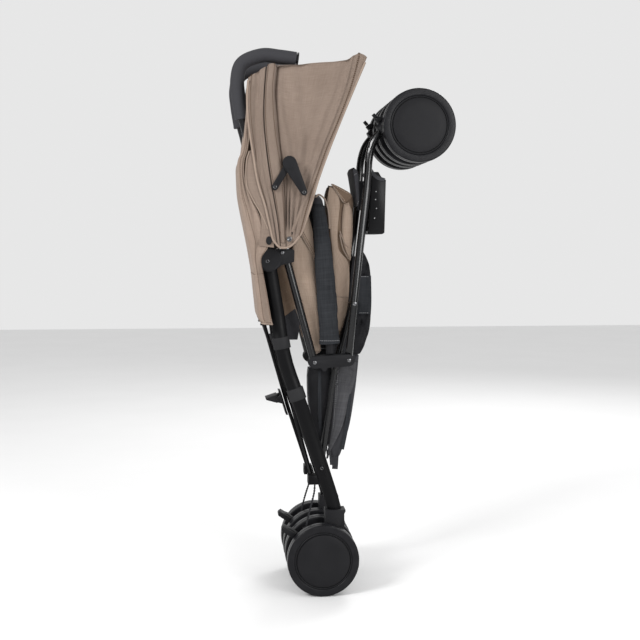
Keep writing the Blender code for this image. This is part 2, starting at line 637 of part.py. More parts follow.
def back_curtain():
    """Tan cloth that hangs behind the handle tubes from the canopy to the rear legs."""
    left = [(-160, 900), (-168, 880), (-166, 822), (-155, 753), (-142, 690), (-136, 630),
            (-131, 585), (-125, 560)]
    right = [(-128, 900), (-124, 880), (-122, 822), (-132, 753), (-134.8, 690), (-125, 630),
             (-122.5, 585), (-120.5, 560)]
    bm = bmesh.new()
    outer, inner = [], []
    for (lx, lz), (rx, rz) in zip(left, right):
        for loops, inset in ((outer, 0.0), (inner, 0.003)):
            y = CURTAIN_Y - inset
            back = lx * MM + inset
            row = [(rx * MM, -y, rz * MM), (back + 0.004, -y, lz * MM), (back, -y + 0.008, lz * MM),
                   (back, 0.0, lz * MM)]
            row += [(x, -yy, z) for x, yy, z in reversed(row[:-1])]
            loops.append([bm.verts.new(p) for p in row])
    count = len(outer[0])
    for k in range(len(outer) - 1):
        for i in range(count - 1):
            bm.faces.new((outer[k][i], outer[k][i + 1], outer[k + 1][i + 1], outer[k + 1][i]))
            bm.faces.new((inner[k][i], inner[k + 1][i], inner[k + 1][i + 1], inner[k][i + 1]))
        for i in (0, count - 1):
            bm.faces.new((outer[k][i], outer[k + 1][i], inner[k + 1][i], inner[k][i]))
    for k in (0, len(outer) - 1):
        for i in range(count - 1):
            bm.faces.new((outer[k][i], inner[k][i], inner[k][i + 1], outer[k][i + 1]))
    add_object("back_curtain", close_mesh(bm), "fabric_tan")


def soft_slab(name, outline, half_y, finish, inset=0.006):
    """Folded cloth as a slab whose two faces are drawn in along its edge."""
    bm = bmesh.new()
    centre = Vector((sum(x for x, _ in outline) / len(outline), sum(z for _, z in outline) / len(outline)))
    loops = []
    for y, pull in ((-half_y, inset), (-half_y + inset, 0.0), (half_y - inset, 0.0), (half_y, inset)):
        ring = []
        for x, z in outline:
            toward = centre - Vector((x, z))
            step = toward.normalized() * pull
            ring.append(bm.verts.new((x + step.x, y, z + step.y)))
        loops.append(ring)
    skin(bm, loops)
    bm.faces.new(loops[0])
    bm.faces.new(loops[-1])
    bmesh.ops.triangulate(bm, faces=[f for f in bm.faces if len(f.verts) > 4])
    add_object(name, close_mesh(bm), finish)


def cloth():
    """Seat, leg rest and basket, as they lie between the frames when folded."""
    soft_slab("seat_pad", mm([(-75, 690), (-60, 655), (-43, 596), (-27, 535), (-17, 496), (-10, 496),
                              (-9, 570), (-13, 640), (-19, 700), (-25, 745), (-40, 705)]),
              0.0468, "fabric_tan", 0.004)
    soft_slab("leg_rest", mm([(26, 835), (66, 812), (69, 744), (63, 600), (46, 530), (38, 517),
                              (34, 560), (29, 640), (21, 720), (17, 790)]),
              0.031, "fabric_tan", 0.005)
    soft_slab("basket", mm([(84, 711), (107, 674), (110, 620), (109, 540), (97, 506), (84, 481),
                            (74, 390), (68, 306), (58, 285), (43, 246), (24, 246), (10, 330),
                            (5, 400), (5, 452), (28, 488), (60, 516), (77, 600)]),
              0.030, "fabric_black", 0.004)


def main():
    """Build the folded stroller."""
    for obj in list(bpy.data.objects):
        bpy.data.objects.remove(obj, do_unlink=True)
    for side, sign in SIDES:
        rear_leg(side, sign)
        rear_block(side, sign)
        axle(f"rear_axle_{side}", REAR_AXLE, sign)
        brake_cable(side, sign)
        brake_pedal(side, sign)
        hub(side, sign)
        handle(side, sign)
        side_tube(side, sign)
        front_leg(side, sign)
        side_rail(side, sign)
        castor(side, sign)
        elbow(side, sign)
        swivel_lock(side, sign)
        canopy_strut(side, sign)
        for place, y in zip(("outer", "inner"), WHEEL_Y):
            wheel(f"rear_wheel_{side}_{place}", REAR_AXLE, sign, y)
            wheel(f"front_wheel_{side}_{place}", FRONT_AXLE, sign, y)
    rear_brace()
    fold_pedal()
    footrest()
    bumper_bar()
    canopy()
    back_curtain()
    cloth()


main()
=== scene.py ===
"""Finishes, wheels and soft goods of a folded umbrella stroller, built round its fixed frame.

The frame is loaded first and never moved. Lengths are in metres, +Z is up, the stroller's front
is +X and the child's left is +Y. Outlines are written in millimetres from the rear axle's
centre line, and Frame.spot turns them into places in the scene.
"""

from __future__ import annotations

import json
import logging
import math
from dataclasses import dataclass
from enum import Enum
from typing import Callable, Sequence

import bpy
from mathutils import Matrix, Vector, noise

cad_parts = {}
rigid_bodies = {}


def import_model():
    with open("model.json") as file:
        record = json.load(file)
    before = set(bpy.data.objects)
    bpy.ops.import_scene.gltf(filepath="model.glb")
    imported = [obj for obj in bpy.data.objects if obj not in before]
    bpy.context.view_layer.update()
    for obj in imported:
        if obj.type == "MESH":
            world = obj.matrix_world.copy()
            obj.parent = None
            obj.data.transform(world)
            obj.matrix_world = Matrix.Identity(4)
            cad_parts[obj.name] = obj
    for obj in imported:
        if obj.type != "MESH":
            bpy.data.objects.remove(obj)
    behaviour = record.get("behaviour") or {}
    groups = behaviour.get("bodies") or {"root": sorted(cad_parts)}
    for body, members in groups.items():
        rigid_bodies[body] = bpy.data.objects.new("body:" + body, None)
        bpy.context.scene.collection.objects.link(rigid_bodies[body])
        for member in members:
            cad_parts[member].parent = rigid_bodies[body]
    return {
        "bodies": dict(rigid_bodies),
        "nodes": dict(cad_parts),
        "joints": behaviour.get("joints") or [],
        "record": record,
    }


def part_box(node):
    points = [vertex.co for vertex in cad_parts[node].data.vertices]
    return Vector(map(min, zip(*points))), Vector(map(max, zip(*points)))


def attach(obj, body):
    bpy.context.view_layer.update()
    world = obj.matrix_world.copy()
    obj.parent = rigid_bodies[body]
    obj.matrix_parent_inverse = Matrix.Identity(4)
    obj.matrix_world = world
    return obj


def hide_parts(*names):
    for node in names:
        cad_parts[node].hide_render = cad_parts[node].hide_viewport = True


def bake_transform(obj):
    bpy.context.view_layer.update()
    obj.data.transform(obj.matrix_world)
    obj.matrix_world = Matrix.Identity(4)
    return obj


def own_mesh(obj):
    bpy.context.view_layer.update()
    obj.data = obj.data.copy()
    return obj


log = logging.getLogger("stroller")
MM = 0.001
REAR_AXLE_HEIGHT = 74.0
SIDES = (("right", -1), ("left", 1))
Place = Callable[[float, float], Vector]
Pair = tuple[float, float]
Line = tuple[Pair, ...]
Colour = tuple[float, float, float]
Piece = bpy.types.Object
Material = bpy.types.Material
SOFT_ANGLE = 60.0  # degrees up to which cloth and foam shade smoothly
HARD_ANGLE = 35.0  # the same for small turned parts
WELD = 0.00001
THREAD_RISE = 0.0007


class Frame:
    """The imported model, with the zero of the outlines that are written from its rear axle."""

    def __init__(self) -> None:
        """Load the frame and find the rear axle."""
        self.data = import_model()
        low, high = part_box("rear_axle_right")
        self.zero = Vector(((low.x + high.x) / 2, 0.0, (low.z + high.z) / 2 - REAR_AXLE_HEIGHT * MM))

    def spot(self, x: float, z: float, y: float = 0.0) -> Vector:
        """Return a place in the scene.

        Args:
            x: Millimetres in front of the rear axle.
            z: Millimetres above the floor.
            y: Millimetres to the child's left of the middle plane.
        """
        return self.zero + Vector((x, y, z)) * MM

    def line(self, points: Sequence[Pair], y: float = 0.0) -> list[Vector]:
        """Return the places of a list of x and z pairs at one distance from the middle plane."""
        return [self.spot(x, z, y) for x, z in points]


class Wire:
    """A node's output socket whose sums and products add the nodes that work them out."""

    def __init__(self, tree: bpy.types.NodeTree, socket: bpy.types.NodeSocket) -> None:
        """Keep the socket and the tree that new nodes go into."""
        self.tree = tree
        self.socket = socket

    def _math(self, operation: str, first: object, second: object = 0.0) -> "Wire":
        """Add one Math node for two values or wires.

        Args:
            operation: The node's operation.
            first: The first value or wire.
            second: The second value or wire.

        Returns:
            The output.
        """
        node = self.tree.nodes.new("ShaderNodeMath")
        node.operation = operation
        for slot, value in enumerate((first, second)):
            if isinstance(value, Wire):
                self.tree.links.new(value.socket, node.inputs[slot])
            else:
                node.inputs[slot].default_value = value
        return Wire(self.tree, node.outputs[0])

    def __add__(self, other: object) -> "Wire":
        """Add a value or a wire."""
        return self._math("ADD", self, other)

    def __sub__(self, other: object) -> "Wire":
        """Take away a value or a wire."""
        return self._math("SUBTRACT", self, other)

    def __rsub__(self, other: float) -> "Wire":
        """Take this wire away from a value."""
        return self._math("SUBTRACT", other, self)

    def __mul__(self, other: object) -> "Wire":
        """Multiply by a value or a wire."""
        return self._math("MULTIPLY", self, other)

    def power(self, exponent: float) -> "Wire":
        """Raise to a power."""
        return self._math("POWER", self, exponent)

    def wave(self, pitch: float) -> "Wire":
        """Return a wave from 0 to 1 that repeats each pitch of this length."""
        return self._math("SINE", self * (math.tau / pitch)) * 0.5 + 0.5

    def above(self, edge: float) -> "Wire":
        """Return 1 where this is greater than the edge, and 0 elsewhere."""
        return self._math("GREATER_THAN", self, edge)


class Recipe:
    """A material's node tree, with short ways to add its nodes."""

    def __init__(self, name: str) -> None:
        """Make the material and keep its shader.

        Args:
            name: The material's name.
        """
        self.material = bpy.data.materials.new(name)
        self.material.use_nodes = True
        self.tree = self.material.node_tree
        self.shader = self.tree.nodes["Principled BSDF"]
        self.shader.inputs["Specular IOR Level"].default_value = 0.12

    def node(self, kind: str, settings: dict | None = None, inputs: dict | None = None,
             output: str | int = 0) -> Wire:
        """Add a node.

        Args:
            kind: The node's type.
            settings: Its own properties, set before its sockets.
            inputs: Values or wires for its sockets, by name or number.
            output: The output to return.

        Returns:
            The chosen output.
        """
        made = self.tree.nodes.new(kind)
        for key, value in (settings or {}).items():
            setattr(made, key, value)
        for key, value in (inputs or {}).items():
            if isinstance(value, Wire):
                self.tree.links.new(value.socket, made.inputs[key])
            else:
                made.inputs[key].default_value = value
        return Wire(self.tree, made.outputs[output])

    def places(self) -> Wire:
        """Return the object coordinates, in metres."""
        return self.node("ShaderNodeTexCoord", output="Object")

    def cloud(self, scale: float, detail: float = 3.0, at: Wire | None = None,
              stretch: Sequence[float] | None = None) -> Wire:
        """Return soft noise from 0 to 1.

        Args:
            scale: Waves in each metre.
            detail: How many finer waves are added.
            at: The coordinates, or none for the object's.
            stretch: A scale for each axis, for streaks.

        Returns:
            The output.
        """
        where = at or self.places()
        if stretch:
            where = self.node("ShaderNodeMapping", inputs={"Vector": where, "Scale": stretch})
        return self.node("ShaderNodeTexNoise", inputs={"Vector": where, "Scale": scale, "Detail": detail})

    def cells(self, scale: float, at: Wire | None = None) -> Wire:
        """Return the distance to the nearest of many scattered points, in cells."""
        return self.node("ShaderNodeTexVoronoi", inputs={"Vector": at or self.places(), "Scale": scale})

    def threads(self) -> tuple[Wire, Wire, Wire]:
        """Return the piece's own cloth map, and its places across and along the cloth.

        Returns:
            The map, across and along.
        """
        cloth = self.node("ShaderNodeUVMap", {"uv_map": "cloth"})
        across, along = (self.node("ShaderNodeSeparateXYZ", inputs={0: cloth}, output=axis) for axis in (0, 1))
        return cloth, across, along

    def mix(self, factor: Wire, first: Sequence[float], second: Sequence[float]) -> Wire:
        """Mix two colours by a factor."""
        colours = {0: factor, 6: (*first, 1.0), 7: (*second, 1.0)}
        return self.node("ShaderNodeMix", {"data_type": "RGBA"}, colours, 2)

    def tint(self, factor: Wire, colour: Colour, gain: float, lift: float = 0.0) -> None:
        """Feed the base colour, mixed by a factor with a paler one that is a gain and a lift away."""
        pale = tuple(min(1.0, c * gain + lift) for c in colour)
        self.feed("Base Color", self.mix(factor, colour, pale))

    def roughen(self, wave: Wire, middle: float, span: float) -> None:
        """Feed a roughness that varies over a span about its middle."""
        self.feed("Roughness", wave * span + (middle - span / 2))

    def bump(self, height: Wire, depth: float, strength: float = 1.0) -> None:
        """Raise the surface by a height from 0 to 1.

        Args:
            height: The height.
            depth: Metres between 0 and 1.
            strength: How much of it shows.
        """
        raised = self.node("ShaderNodeBump", inputs={"Height": height, "Distance": depth, "Strength": strength})
        self.feed("Normal", raised)

    def feed(self, socket: str, value: Wire | float | Sequence[float]) -> None:
        """Link or set one of the shader's sockets.

        Args:
            socket: The shader's socket.
            value: A wire to link or a value to set.
        """
        if isinstance(value, Wire):
            self.tree.links.new(value.socket, self.shader.inputs[socket])
        else:
            self.shader.inputs[socket].default_value = value


@dataclass(frozen=True)
class Paint:
    """Powder-coated or lacquered tube."""

    name: str
    colour: Colour
    rough: float
    coat: float = 0.0
    grain: float = 0.00003

    def make(self) -> Material:
        """Return the paint with a fine orange peel and a few paler rubbed places.

        Returns:
            The material.
        """
        recipe = Recipe(self.name)
        rubbed = recipe.cloud(38.0, 5.0).power(6.0)
        recipe.tint(rubbed, self.colour, 2.4, 0.004)
        recipe.roughen(recipe.cloud(60.0), self.rough, 0.16)
        recipe.feed("Coat Weight", self.coat)
        recipe.feed("Coat Roughness", 0.12)
        recipe.bump(recipe.cloud(1600.0, 2.0), self.grain)
        return recipe.material


@dataclass(frozen=True)
class Moulding:
    """Injection-moulded plastic with a spark-eroded texture."""

    name: str
    colour: Colour
    rough: float = 0.5
    pebble: float = 1500.0
    depth: float = 0.00008

    def make(self) -> Material:
        """Return the plastic with its pebbled skin and slight flow marks.

        Returns:
            The material.
        """
        recipe = Recipe(self.name)
        flow = recipe.cloud(22.0, 4.0)
        recipe.tint(flow, self.colour, 1.5, 0.004)
        recipe.roughen(flow, self.rough, 0.14)
        recipe.bump(recipe.cells(self.pebble), self.depth, 0.7)
        return recipe.material


@dataclass(frozen=True)
class Foam:
    """Closed-cell foam of a grip or a tyre."""

    name: str
    colour: Colour
    rough: float
    pores: float
    depth: float

    def make(self) -> Material:
        """Return the foam with open pores of two sizes.

        Returns:
            The material.
        """
        recipe = Recipe(self.name)
        skin = recipe.cells(self.pores)
        dust = recipe.cloud(55.0, 5.0)
        recipe.tint(dust, self.colour, 1.7, 0.006)
        recipe.roughen(dust, self.rough, 0.12)
        recipe.bump(skin * 0.7 + recipe.cloud(self.pores * 1.9, 2.0) * 0.5, self.depth)
        return recipe.material


@dataclass(frozen=True)
class Canvas:
    """Woven cloth whose threads follow the piece's own cloth map, in metres."""

    name: str
    colour: Colour
    pale: Colour
    pitch: float = 0.0014
    depth: float = 0.00035
    melange: float = 0.5
    sheen: float = 0.08
    slubs: float = 640.0

    def make(self) -> Material:
        """Return the cloth with its weave, uneven threads and soft fading.

        Returns:
            The material.
        """
        recipe = Recipe(self.name)
        cloth, across, along = recipe.threads()
        warp = recipe.cloud(self.slubs, 2.0, cloth, (1.0, 0.06, 1.0))
        weft = recipe.cloud(self.slubs, 2.0, cloth, (0.06, 1.0, 1.0))
        fading = recipe.cloud(16.0, 3.0)
        shade = (warp + weft - 0.7) * (1.3 * self.melange) + fading * (1.0 - self.melange)
        recipe.feed("Base Color", recipe.mix(shade, self.colour, self.pale))
        recipe.feed("Roughness", 0.92)
        weave = across.wave(self.pitch) * along.wave(self.pitch)
        recipe.bump(weave * 0.6 + (warp + weft) * 0.25, self.depth)
        recipe.feed("Sheen Weight", self.sheen)
        recipe.feed("Sheen Roughness", 0.5)
        return recipe.material


@dataclass(frozen=True)
class Net:
    """Black net of a basket, open between its threads."""

    name: str
    colour: Colour
    pitch: float = 0.0022
    open_share: float = 0.62

    def make(self) -> Material:
        """Return the net with see-through holes and rounded threads.

        Returns:
            The material.
        """
        recipe = Recipe(self.name)
        _, across, along = recipe.threads()
        hole = (across + along).wave(self.pitch) * (across - along).wave(self.pitch)
        recipe.feed("Base Color", recipe.mix(recipe.cloud(30.0), self.colour, (0.018, 0.018, 0.020)))
        recipe.feed("Roughness", 0.75)
        recipe.feed("Alpha", 1.0 - hole.above(self.open_share))
        recipe.bump(hole, 0.0002)
        return recipe.material


@dataclass(frozen=True)
class Metal:
    """Bare or plated metal."""

    name: str
    colour: Colour
    rough: float = 0.3

    def make(self) -> Material:
        """Return the metal with fine turning marks.

        Returns:
            The material.
        """
        recipe = Recipe(self.name)
        marks = recipe.cloud(900.0, 2.0, stretch=(1.0, 0.1, 1.0))
        recipe.feed("Base Color", self.colour + (1.0,))
        recipe.feed("Metallic", 1.0)
        recipe.roughen(marks, self.rough, 0.2)
        recipe.bump(marks, 0.00002)
        return recipe.material


@dataclass(frozen=True)
class Thread:
    """Sewing thread or twisted cord."""

    name: str
    colour: Colour

    def make(self) -> Material:
        """Return the thread with its twist.

        Returns:
            The material.
        """
        recipe = Recipe(self.name)
        twist = recipe.cloud(2500.0, 2.0, stretch=(1.0, 0.4, 1.0))
        recipe.tint(twist, self.colour, 1.6)
        recipe.feed("Roughness", 0.8)
        recipe.bump(twist, 0.0001)
        return recipe.material


class Look(Enum):
    """Each finish that the stroller has."""

    LEG_PAINT = Paint("satin_black_paint", (0.0015, 0.0015, 0.002), 0.42)
    GLOSS_PAINT = Paint("gloss_black_paint", (0.003, 0.003, 0.0035), 0.28, 0.45, 0.00001)
    PLASTIC = Moulding("black_moulding", (0.006, 0.006, 0.007))
    BAND = Moulding("pebbled_band", (0.013, 0.013, 0.014), 0.55, 700.0, 0.0002)
    TRAY = Moulding("satin_tray", (0.002, 0.002, 0.0025), 0.30)
    TYRE = Foam("foam_tyre", (0.0045, 0.0045, 0.0055), 0.30, 1900.0, 0.00006)
    RIM = Moulding("wheel_disc", (0.006, 0.006, 0.007), 0.46, 1300.0, 0.00007)
    GRIP = Foam("grip_foam", (0.006, 0.006, 0.007), 0.80, 1100.0, 0.00035)
    TAN = Canvas("tan_canvas", (0.148, 0.110, 0.087), (0.252, 0.197, 0.162))
    # The back curtain's canvas is the same tan as TAN, painted paler as painted light for its lit side.
    LIT_BACK_TAN = Canvas("back_canvas_painted_light", (0.190, 0.141, 0.111), (0.322, 0.252, 0.207))
    # The seat's canvas is the same tan cloth painted paler: painted light that offsets the canopy's shadow on the
    # seat and leg rest.
    LIT_SEAT_TAN = Canvas("seat_canvas_painted_light", (0.260, 0.190, 0.143), (0.420, 0.328, 0.262))
    # The same tan canvas darkened as painted shade, for cloth that lies in shadow.
    TAN_SHADE = Canvas("tan_canvas_painted_shade", (0.120, 0.080, 0.054), (0.215, 0.155, 0.112))
    TAN_BINDING = Canvas("tan_binding", (0.215, 0.160, 0.126), (0.320, 0.254, 0.208), 0.0012, 0.0003)
    # Dark brown panel set in the slit by the canopy's rear edge: painted shade.
    SLIT_SHADE = Canvas("slit_painted_shade", (0.030, 0.020, 0.014), (0.060, 0.042, 0.030))
    PANEL = Canvas("basket_panel_cloth", (0.034, 0.034, 0.037), (0.085, 0.085, 0.090),
                   0.0018, 0.0005, 0.6, 0.04, 420.0)
    CHARCOAL = Canvas("charcoal_cloth", (0.011, 0.012, 0.014), (0.034, 0.036, 0.040),
                      0.0018, 0.0005, 0.65, 0.02, 360.0)
    BLACK = Canvas("black_cloth", (0.002, 0.002, 0.0025), (0.009, 0.009, 0.010),
                   0.0016, 0.0004, 0.5, 0.0, 500.0)
    POUCH = Canvas("pouch_cloth", (0.006, 0.006, 0.007), (0.022, 0.022, 0.024),
                   0.0016, 0.0004, 0.5, 0.02, 420.0)
    NET = Net("basket_net", (0.006, 0.006, 0.007))
    STEEL = Metal("plated_steel", (0.42, 0.42, 0.43))
    BLACK_SCREW = Metal("blackened_screw", (0.13, 0.13, 0.135), 0.22)
    TAN_THREAD = Thread("brown_thread", (0.060, 0.036, 0.022))
    PALE_THREAD = Thread("pale_thread", (0.36, 0.28, 0.22))
    GREY_THREAD = Thread("grey_thread", (0.16, 0.16, 0.165))
    CABLE = Thread("cable_sheath", (0.020, 0.020, 0.022))

    @property
    def material(self) -> Material:
        """The finish's material, made when it is first asked for."""
        return bpy.data.materials.get(self.value.name) or self.value.make()


class Bench:
    """Blender's modelling operators, as they are used by hand."""

    @staticmethod
    def clear() -> None:
        """Leave edit mode and deselect everything."""
        if bpy.context.object and bpy.context.object.mode != "OBJECT":
            bpy.ops.object.mode_set(mode="OBJECT")
        bpy.ops.object.select_all(action="DESELECT")

    @staticmethod
    def take(piece: Piece) -> None:
        """Make a piece the only one selected, and active.

        Args:
            piece: The piece.
        """
        Bench.clear()
        piece.select_set(True)
        bpy.context.view_layer.objects.active = piece

    @staticmethod
    def name(piece: Piece, name: str) -> Piece:
        """Name a piece and its mesh.

        Args:
            piece: The piece.
            name: The piece's name.

        Returns:
            The piece.
        """
        piece.name = name
        piece.data.name = name
        return piece

    @staticmethod
    def settle(piece: Piece) -> None:
        """Apply a piece's place, turn and scale to its mesh."""
        Bench.take(piece)
        bpy.ops.object.transform_apply(location=True, rotation=True, scale=True)

    @staticmethod
    def edit(piece: Piece) -> None:
        """Go into edit mode with the whole piece selected.

        Args:
            piece: The piece.
        """
        Bench.take(piece)
        bpy.ops.object.mode_set(mode="EDIT")
        bpy.ops.mesh.select_all(action="SELECT")

    @staticmethod
    def pick(piece: Piece, test: Callable[[Vector, Vector], bool]) -> None:
        """Go into edit mode with the faces selected whose middle and normal pass a test.

        Args:
            piece: The piece.
            test: Tells from a face's middle and normal whether to pick it.
        """
        Bench.take(piece)
        bpy.ops.object.mode_set(mode="EDIT")
        bpy.ops.mesh.select_mode(type="FACE")
        bpy.ops.mesh.select_all(action="DESELECT")
        bpy.ops.object.mode_set(mode="OBJECT")
        for face in piece.data.polygons:
            face.select = test(face.center, face.normal)
        bpy.ops.object.mode_set(mode="EDIT")

    @staticmethod
    def apply(piece: Piece, kind: str, **settings: object) -> None:
        """Add a modifier with its settings and apply it.

        Args:
            piece: The piece.
            kind: The modifier's type.
            settings: The modifier's settings.
        """
        Bench.take(piece)
        modifier = piece.modifiers.new(kind.lower(), kind)
        for key, value in settings.items():
            setattr(modifier, key, value)
        bpy.ops.object.modifier_apply(modifier=modifier.name)

    @staticmethod
    def sheet(name: str, across: int, along: int, place: Place, size: Pair) -> Piece:
        """Add a grid and lay each of its points in its place.

        Args:
            name: The piece's name.
            across: Faces across.
            along: Faces along.
            place: Gives the place of a point from its share across and along.
            size: Width and length of the cloth in metres, for its weave.

        Returns:
            The piece.
        """
        Bench.clear()
        bpy.ops.mesh.primitive_grid_add(x_subdivisions=across, y_subdivisions=along, size=1.0)
        piece = Bench.name(bpy.context.object, name)
        for vertex in piece.data.vertices:
            vertex.co = place(vertex.co.x + 0.5, vertex.co.y + 0.5)
        cloth = piece.data.uv_layers[0]
        cloth.name = "cloth"
        for loop in cloth.data:
            loop.uv = (loop.uv.x * size[0], loop.uv.y * size[1])
        return piece

    @staticmethod
    def thicken(piece: Piece, thickness: float, offset: float = -1.0) -> None:
        """Give a sheet its thickness, inwards unless the offset says otherwise."""
        Bench.apply(piece, "SOLIDIFY", thickness=thickness, offset=offset, use_rim=True)

    @staticmethod
    def tube(name: str, path: Sequence[Vector], half: Callable[[float], Pair], sides: int = 20,
             side: Vector = Vector((0.0, 1.0, 0.0))) -> Piece:
        """Wrap a grid round a path and close its ends.

        Args:
            name: The piece's name.
            path: Points of the centreline.
            half: Gives the section's half width in the path's plane and across it, at a share.
            sides: Faces round the path.
            side: The direction across the path's plane.

        Returns:
            The piece.
        """
        count = len(path) - 1
        frames = []
        for i, point in enumerate(path):
            ahead = (path[min(i + 1, count)] - path[max(i - 1, 0)]).normalized()
            level = (side - ahead * side.dot(ahead)).normalized()
            frames.append((point, level.cross(ahead), level))
        length = sum((b - a).length for a, b in zip(path, path[1:]))

        def place(u: float, v: float) -> Vector:
            """Return a point round the path.

            Args:
                u: Share of the way across.
                v: Share of the way along.

            Returns:
                The place.
            """
            point, out, level = frames[min(round(v * count), count)]
            a, b = half(v)
            turn = u * math.tau
            return point + out * (a * math.cos(turn)) + level * (b * math.sin(turn))

        girth = math.pi * sum(half(0.5))
        piece = Bench.sheet(name, sides, count, place, (girth, length))
        return Bench.close(piece)

    @staticmethod
    def close(piece: Piece) -> Piece:
        """Merge a piece's seams, fill its ends and point its faces outwards.

        Args:
            piece: The piece.

        Returns:
            The piece.
        """
        Bench.edit(piece)
        bpy.ops.mesh.remove_doubles(threshold=WELD)
        bpy.ops.mesh.fill_holes(sides=0)
        bpy.ops.mesh.select_all(action="SELECT")
        bpy.ops.mesh.normals_make_consistent(inside=False)
        bpy.ops.object.mode_set(mode="OBJECT")
        return piece

    @staticmethod
    def cylinder(name: str, centre: Vector, radius: float, width: float, sides: int) -> Piece:
        """Add a cylinder that lies along Y.

        Args:
            name: The piece's name.
            centre: Its middle.
            radius: Its radius in metres.
            width: Its length along Y in metres.
            sides: Faces round it.

        Returns:
            The piece.
        """
        Bench.clear()
        bpy.ops.mesh.primitive_cylinder_add(vertices=sides, radius=radius, depth=width, location=centre,
                                            rotation=(math.pi / 2, 0.0, 0.0))
        piece = Bench.name(bpy.context.object, name)
        Bench.settle(piece)
        return piece

    @staticmethod
    def round_edges(piece: Piece, width: float, segments: int = 2, angle: float = 30.0) -> None:
        """Round the edges that are sharper than an angle."""
        Bench.apply(piece, "BEVEL", width=width, segments=segments, limit_method="ANGLE",
                    angle_limit=math.radians(angle), use_clamp_overlap=True)

    @staticmethod
    def inset(steps: Sequence[Pair], each: bool = False) -> None:
        """Inset the selected faces by each width and depth in turn, and leave edit mode.

        Args:
            steps: Pairs of a width and a depth in metres.
            each: Whether each face is inset by itself.
        """
        for thickness, depth in steps:
            bpy.ops.mesh.inset(thickness=thickness, depth=depth, use_individual=each)
        bpy.ops.object.mode_set(mode="OBJECT")

    @staticmethod
    def recess(piece: Piece, steps: Sequence[Pair], edge: float) -> None:
        """Inset both ends of a part that lies along Y, and round its edges.

        Args:
            piece: The piece.
            steps: Pairs of a width and a depth in metres.
            edge: Radius of the rounded edges in metres.
        """
        Bench.pick(piece, lambda middle, normal: abs(normal.y) > 0.9)
        Bench.inset(steps, each=True)
        Bench.round_edges(piece, edge)

    @staticmethod
    def copy(piece: Piece, name: str, offset: Vector) -> Piece:
        """Return a copy with its own mesh, moved over.

        Args:
            piece: The piece.
            name: The piece's name.
            offset: How far the copy is moved.

        Returns:
            The piece.
        """
        twin = piece.copy()
        twin.data = piece.data.copy()
        bpy.context.collection.objects.link(twin)
        twin.location = offset
        Bench.settle(Bench.name(twin, name))
        return twin

    @staticmethod
    def smooth_line(points: Sequence[Vector], steps: int) -> list[Vector]:
        """Return points on a Catmull-Rom curve through the given ones.

        Args:
            points: The points that the line follows.
            steps: Points for each span.

        Returns:
            The line's points.
        """
        knots = [2 * points[0] - points[1], *points, 2 * points[-1] - points[-2]]
        line = []
        for p0, p1, p2, p3 in zip(knots, knots[1:], knots[2:], knots[3:]):
            for step in range(steps):
                t = step / steps
                line.append(0.5 * (2 * p1 + (p2 - p0) * t + (2 * p0 - 5 * p1 + 4 * p2 - p3) * t * t
                                   + (3 * p1 - p0 - 3 * p2 + p3) * t ** 3))
        return line + [points[-1].copy()]

    @staticmethod
    def even_line(points: Sequence[Vector], pitch: float) -> list[Vector]:
        """Return points along a line at an even distance.

        Args:
            points: The points that the line follows.
            pitch: Metres from point to point.

        Returns:
            The line's points.
        """
        made = [points[0].copy()]
        spare = 0.0
        for a, b in zip(points, points[1:]):
            length = (b - a).length
            reach = pitch - spare
            while reach <= length:
                made.append(a.lerp(b, reach / length))
                reach += pitch
            spare = length - (reach - pitch)
        return made

    @staticmethod
    def stitches(name: str, lines: Sequence[Sequence[Vector]], look: Look, pitch: float = 0.0040,
                 share: float = 0.80, radius: float = 0.00065) -> Piece:
        """Sew rows of stitches, each a copy of one short round-ended thread.

        Args:
            name: The piece's name.
            lines: The rows that the stitches follow.
            look: The thread.
            pitch: Metres from one stitch to the next.
            share: The stitch's share of the pitch.
            radius: The thread's radius.

        Returns:
            The piece.
        """
        Bench.clear()
        bpy.ops.mesh.primitive_uv_sphere_add(segments=6, ring_count=4, radius=1.0)
        thread = bpy.context.object
        shape = [v.co.copy() for v in thread.data.vertices]
        faces = [tuple(f.vertices) for f in thread.data.polygons]
        places, corners = [], []
        for line in lines:
            knots = Bench.even_line(line, pitch)
            for a, b in zip(knots, knots[1:]):
                turn = (b - a).to_track_quat("Z", "Y").to_matrix()
                start = len(places)
                for point in shape:
                    local = Vector((point.x * radius, point.y * radius, point.z * pitch * share / 2))
                    places.append((a + b) / 2 + turn @ local)
                corners.extend(tuple(i + start for i in face) for face in faces)
        mesh = bpy.data.meshes.new(name)
        mesh.from_pydata(places, [], corners)
        mesh.shade_smooth()
        thread.data = mesh
        return Bench.name(Dress.put(thread, look), name)

    @staticmethod
    def joined(name: str, parts: Sequence[Piece]) -> Piece:
        """Join pieces into one.

        Args:
            name: The piece's name.
            parts: The pieces.

        Returns:
            The piece.
        """
        Bench.take(parts[0])
        for part in parts:
            part.select_set(True)
        bpy.ops.object.join()
        return Bench.name(bpy.context.object, name)


class Dress:
    """Finishing steps that every piece ends with."""

    @staticmethod
    def put(piece: Piece, look: Look, angle: float | None = None) -> Piece:
        """Give a piece its finish, and smooth it up to an angle in degrees.

        Args:
            piece: The piece.
            look: The finish.
            angle: Degrees up to which edges shade smoothly, or none.

        Returns:
            The piece.
        """
        piece.data.materials.clear()
        piece.data.materials.append(look.material)
        if angle is not None:
            Bench.take(piece)
            bpy.ops.object.shade_smooth_by_angle(angle=math.radians(angle))
        return piece

    @staticmethod
    def ride(piece: Piece, body: str, slot: str, *nodes: str) -> Piece:
        """Let a piece move with a body and stand for the frame's own nodes.

        Args:
            piece: The finished piece.
            body: The body that carries it.
            slot: The record's material slot; not used.
            nodes: The nodes that it replaces.

        Returns:
            The piece.
        """
        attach(piece, body)
        if nodes:
            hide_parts(*nodes)
        log.info("%s rides on %s", piece.name, body)
        return piece


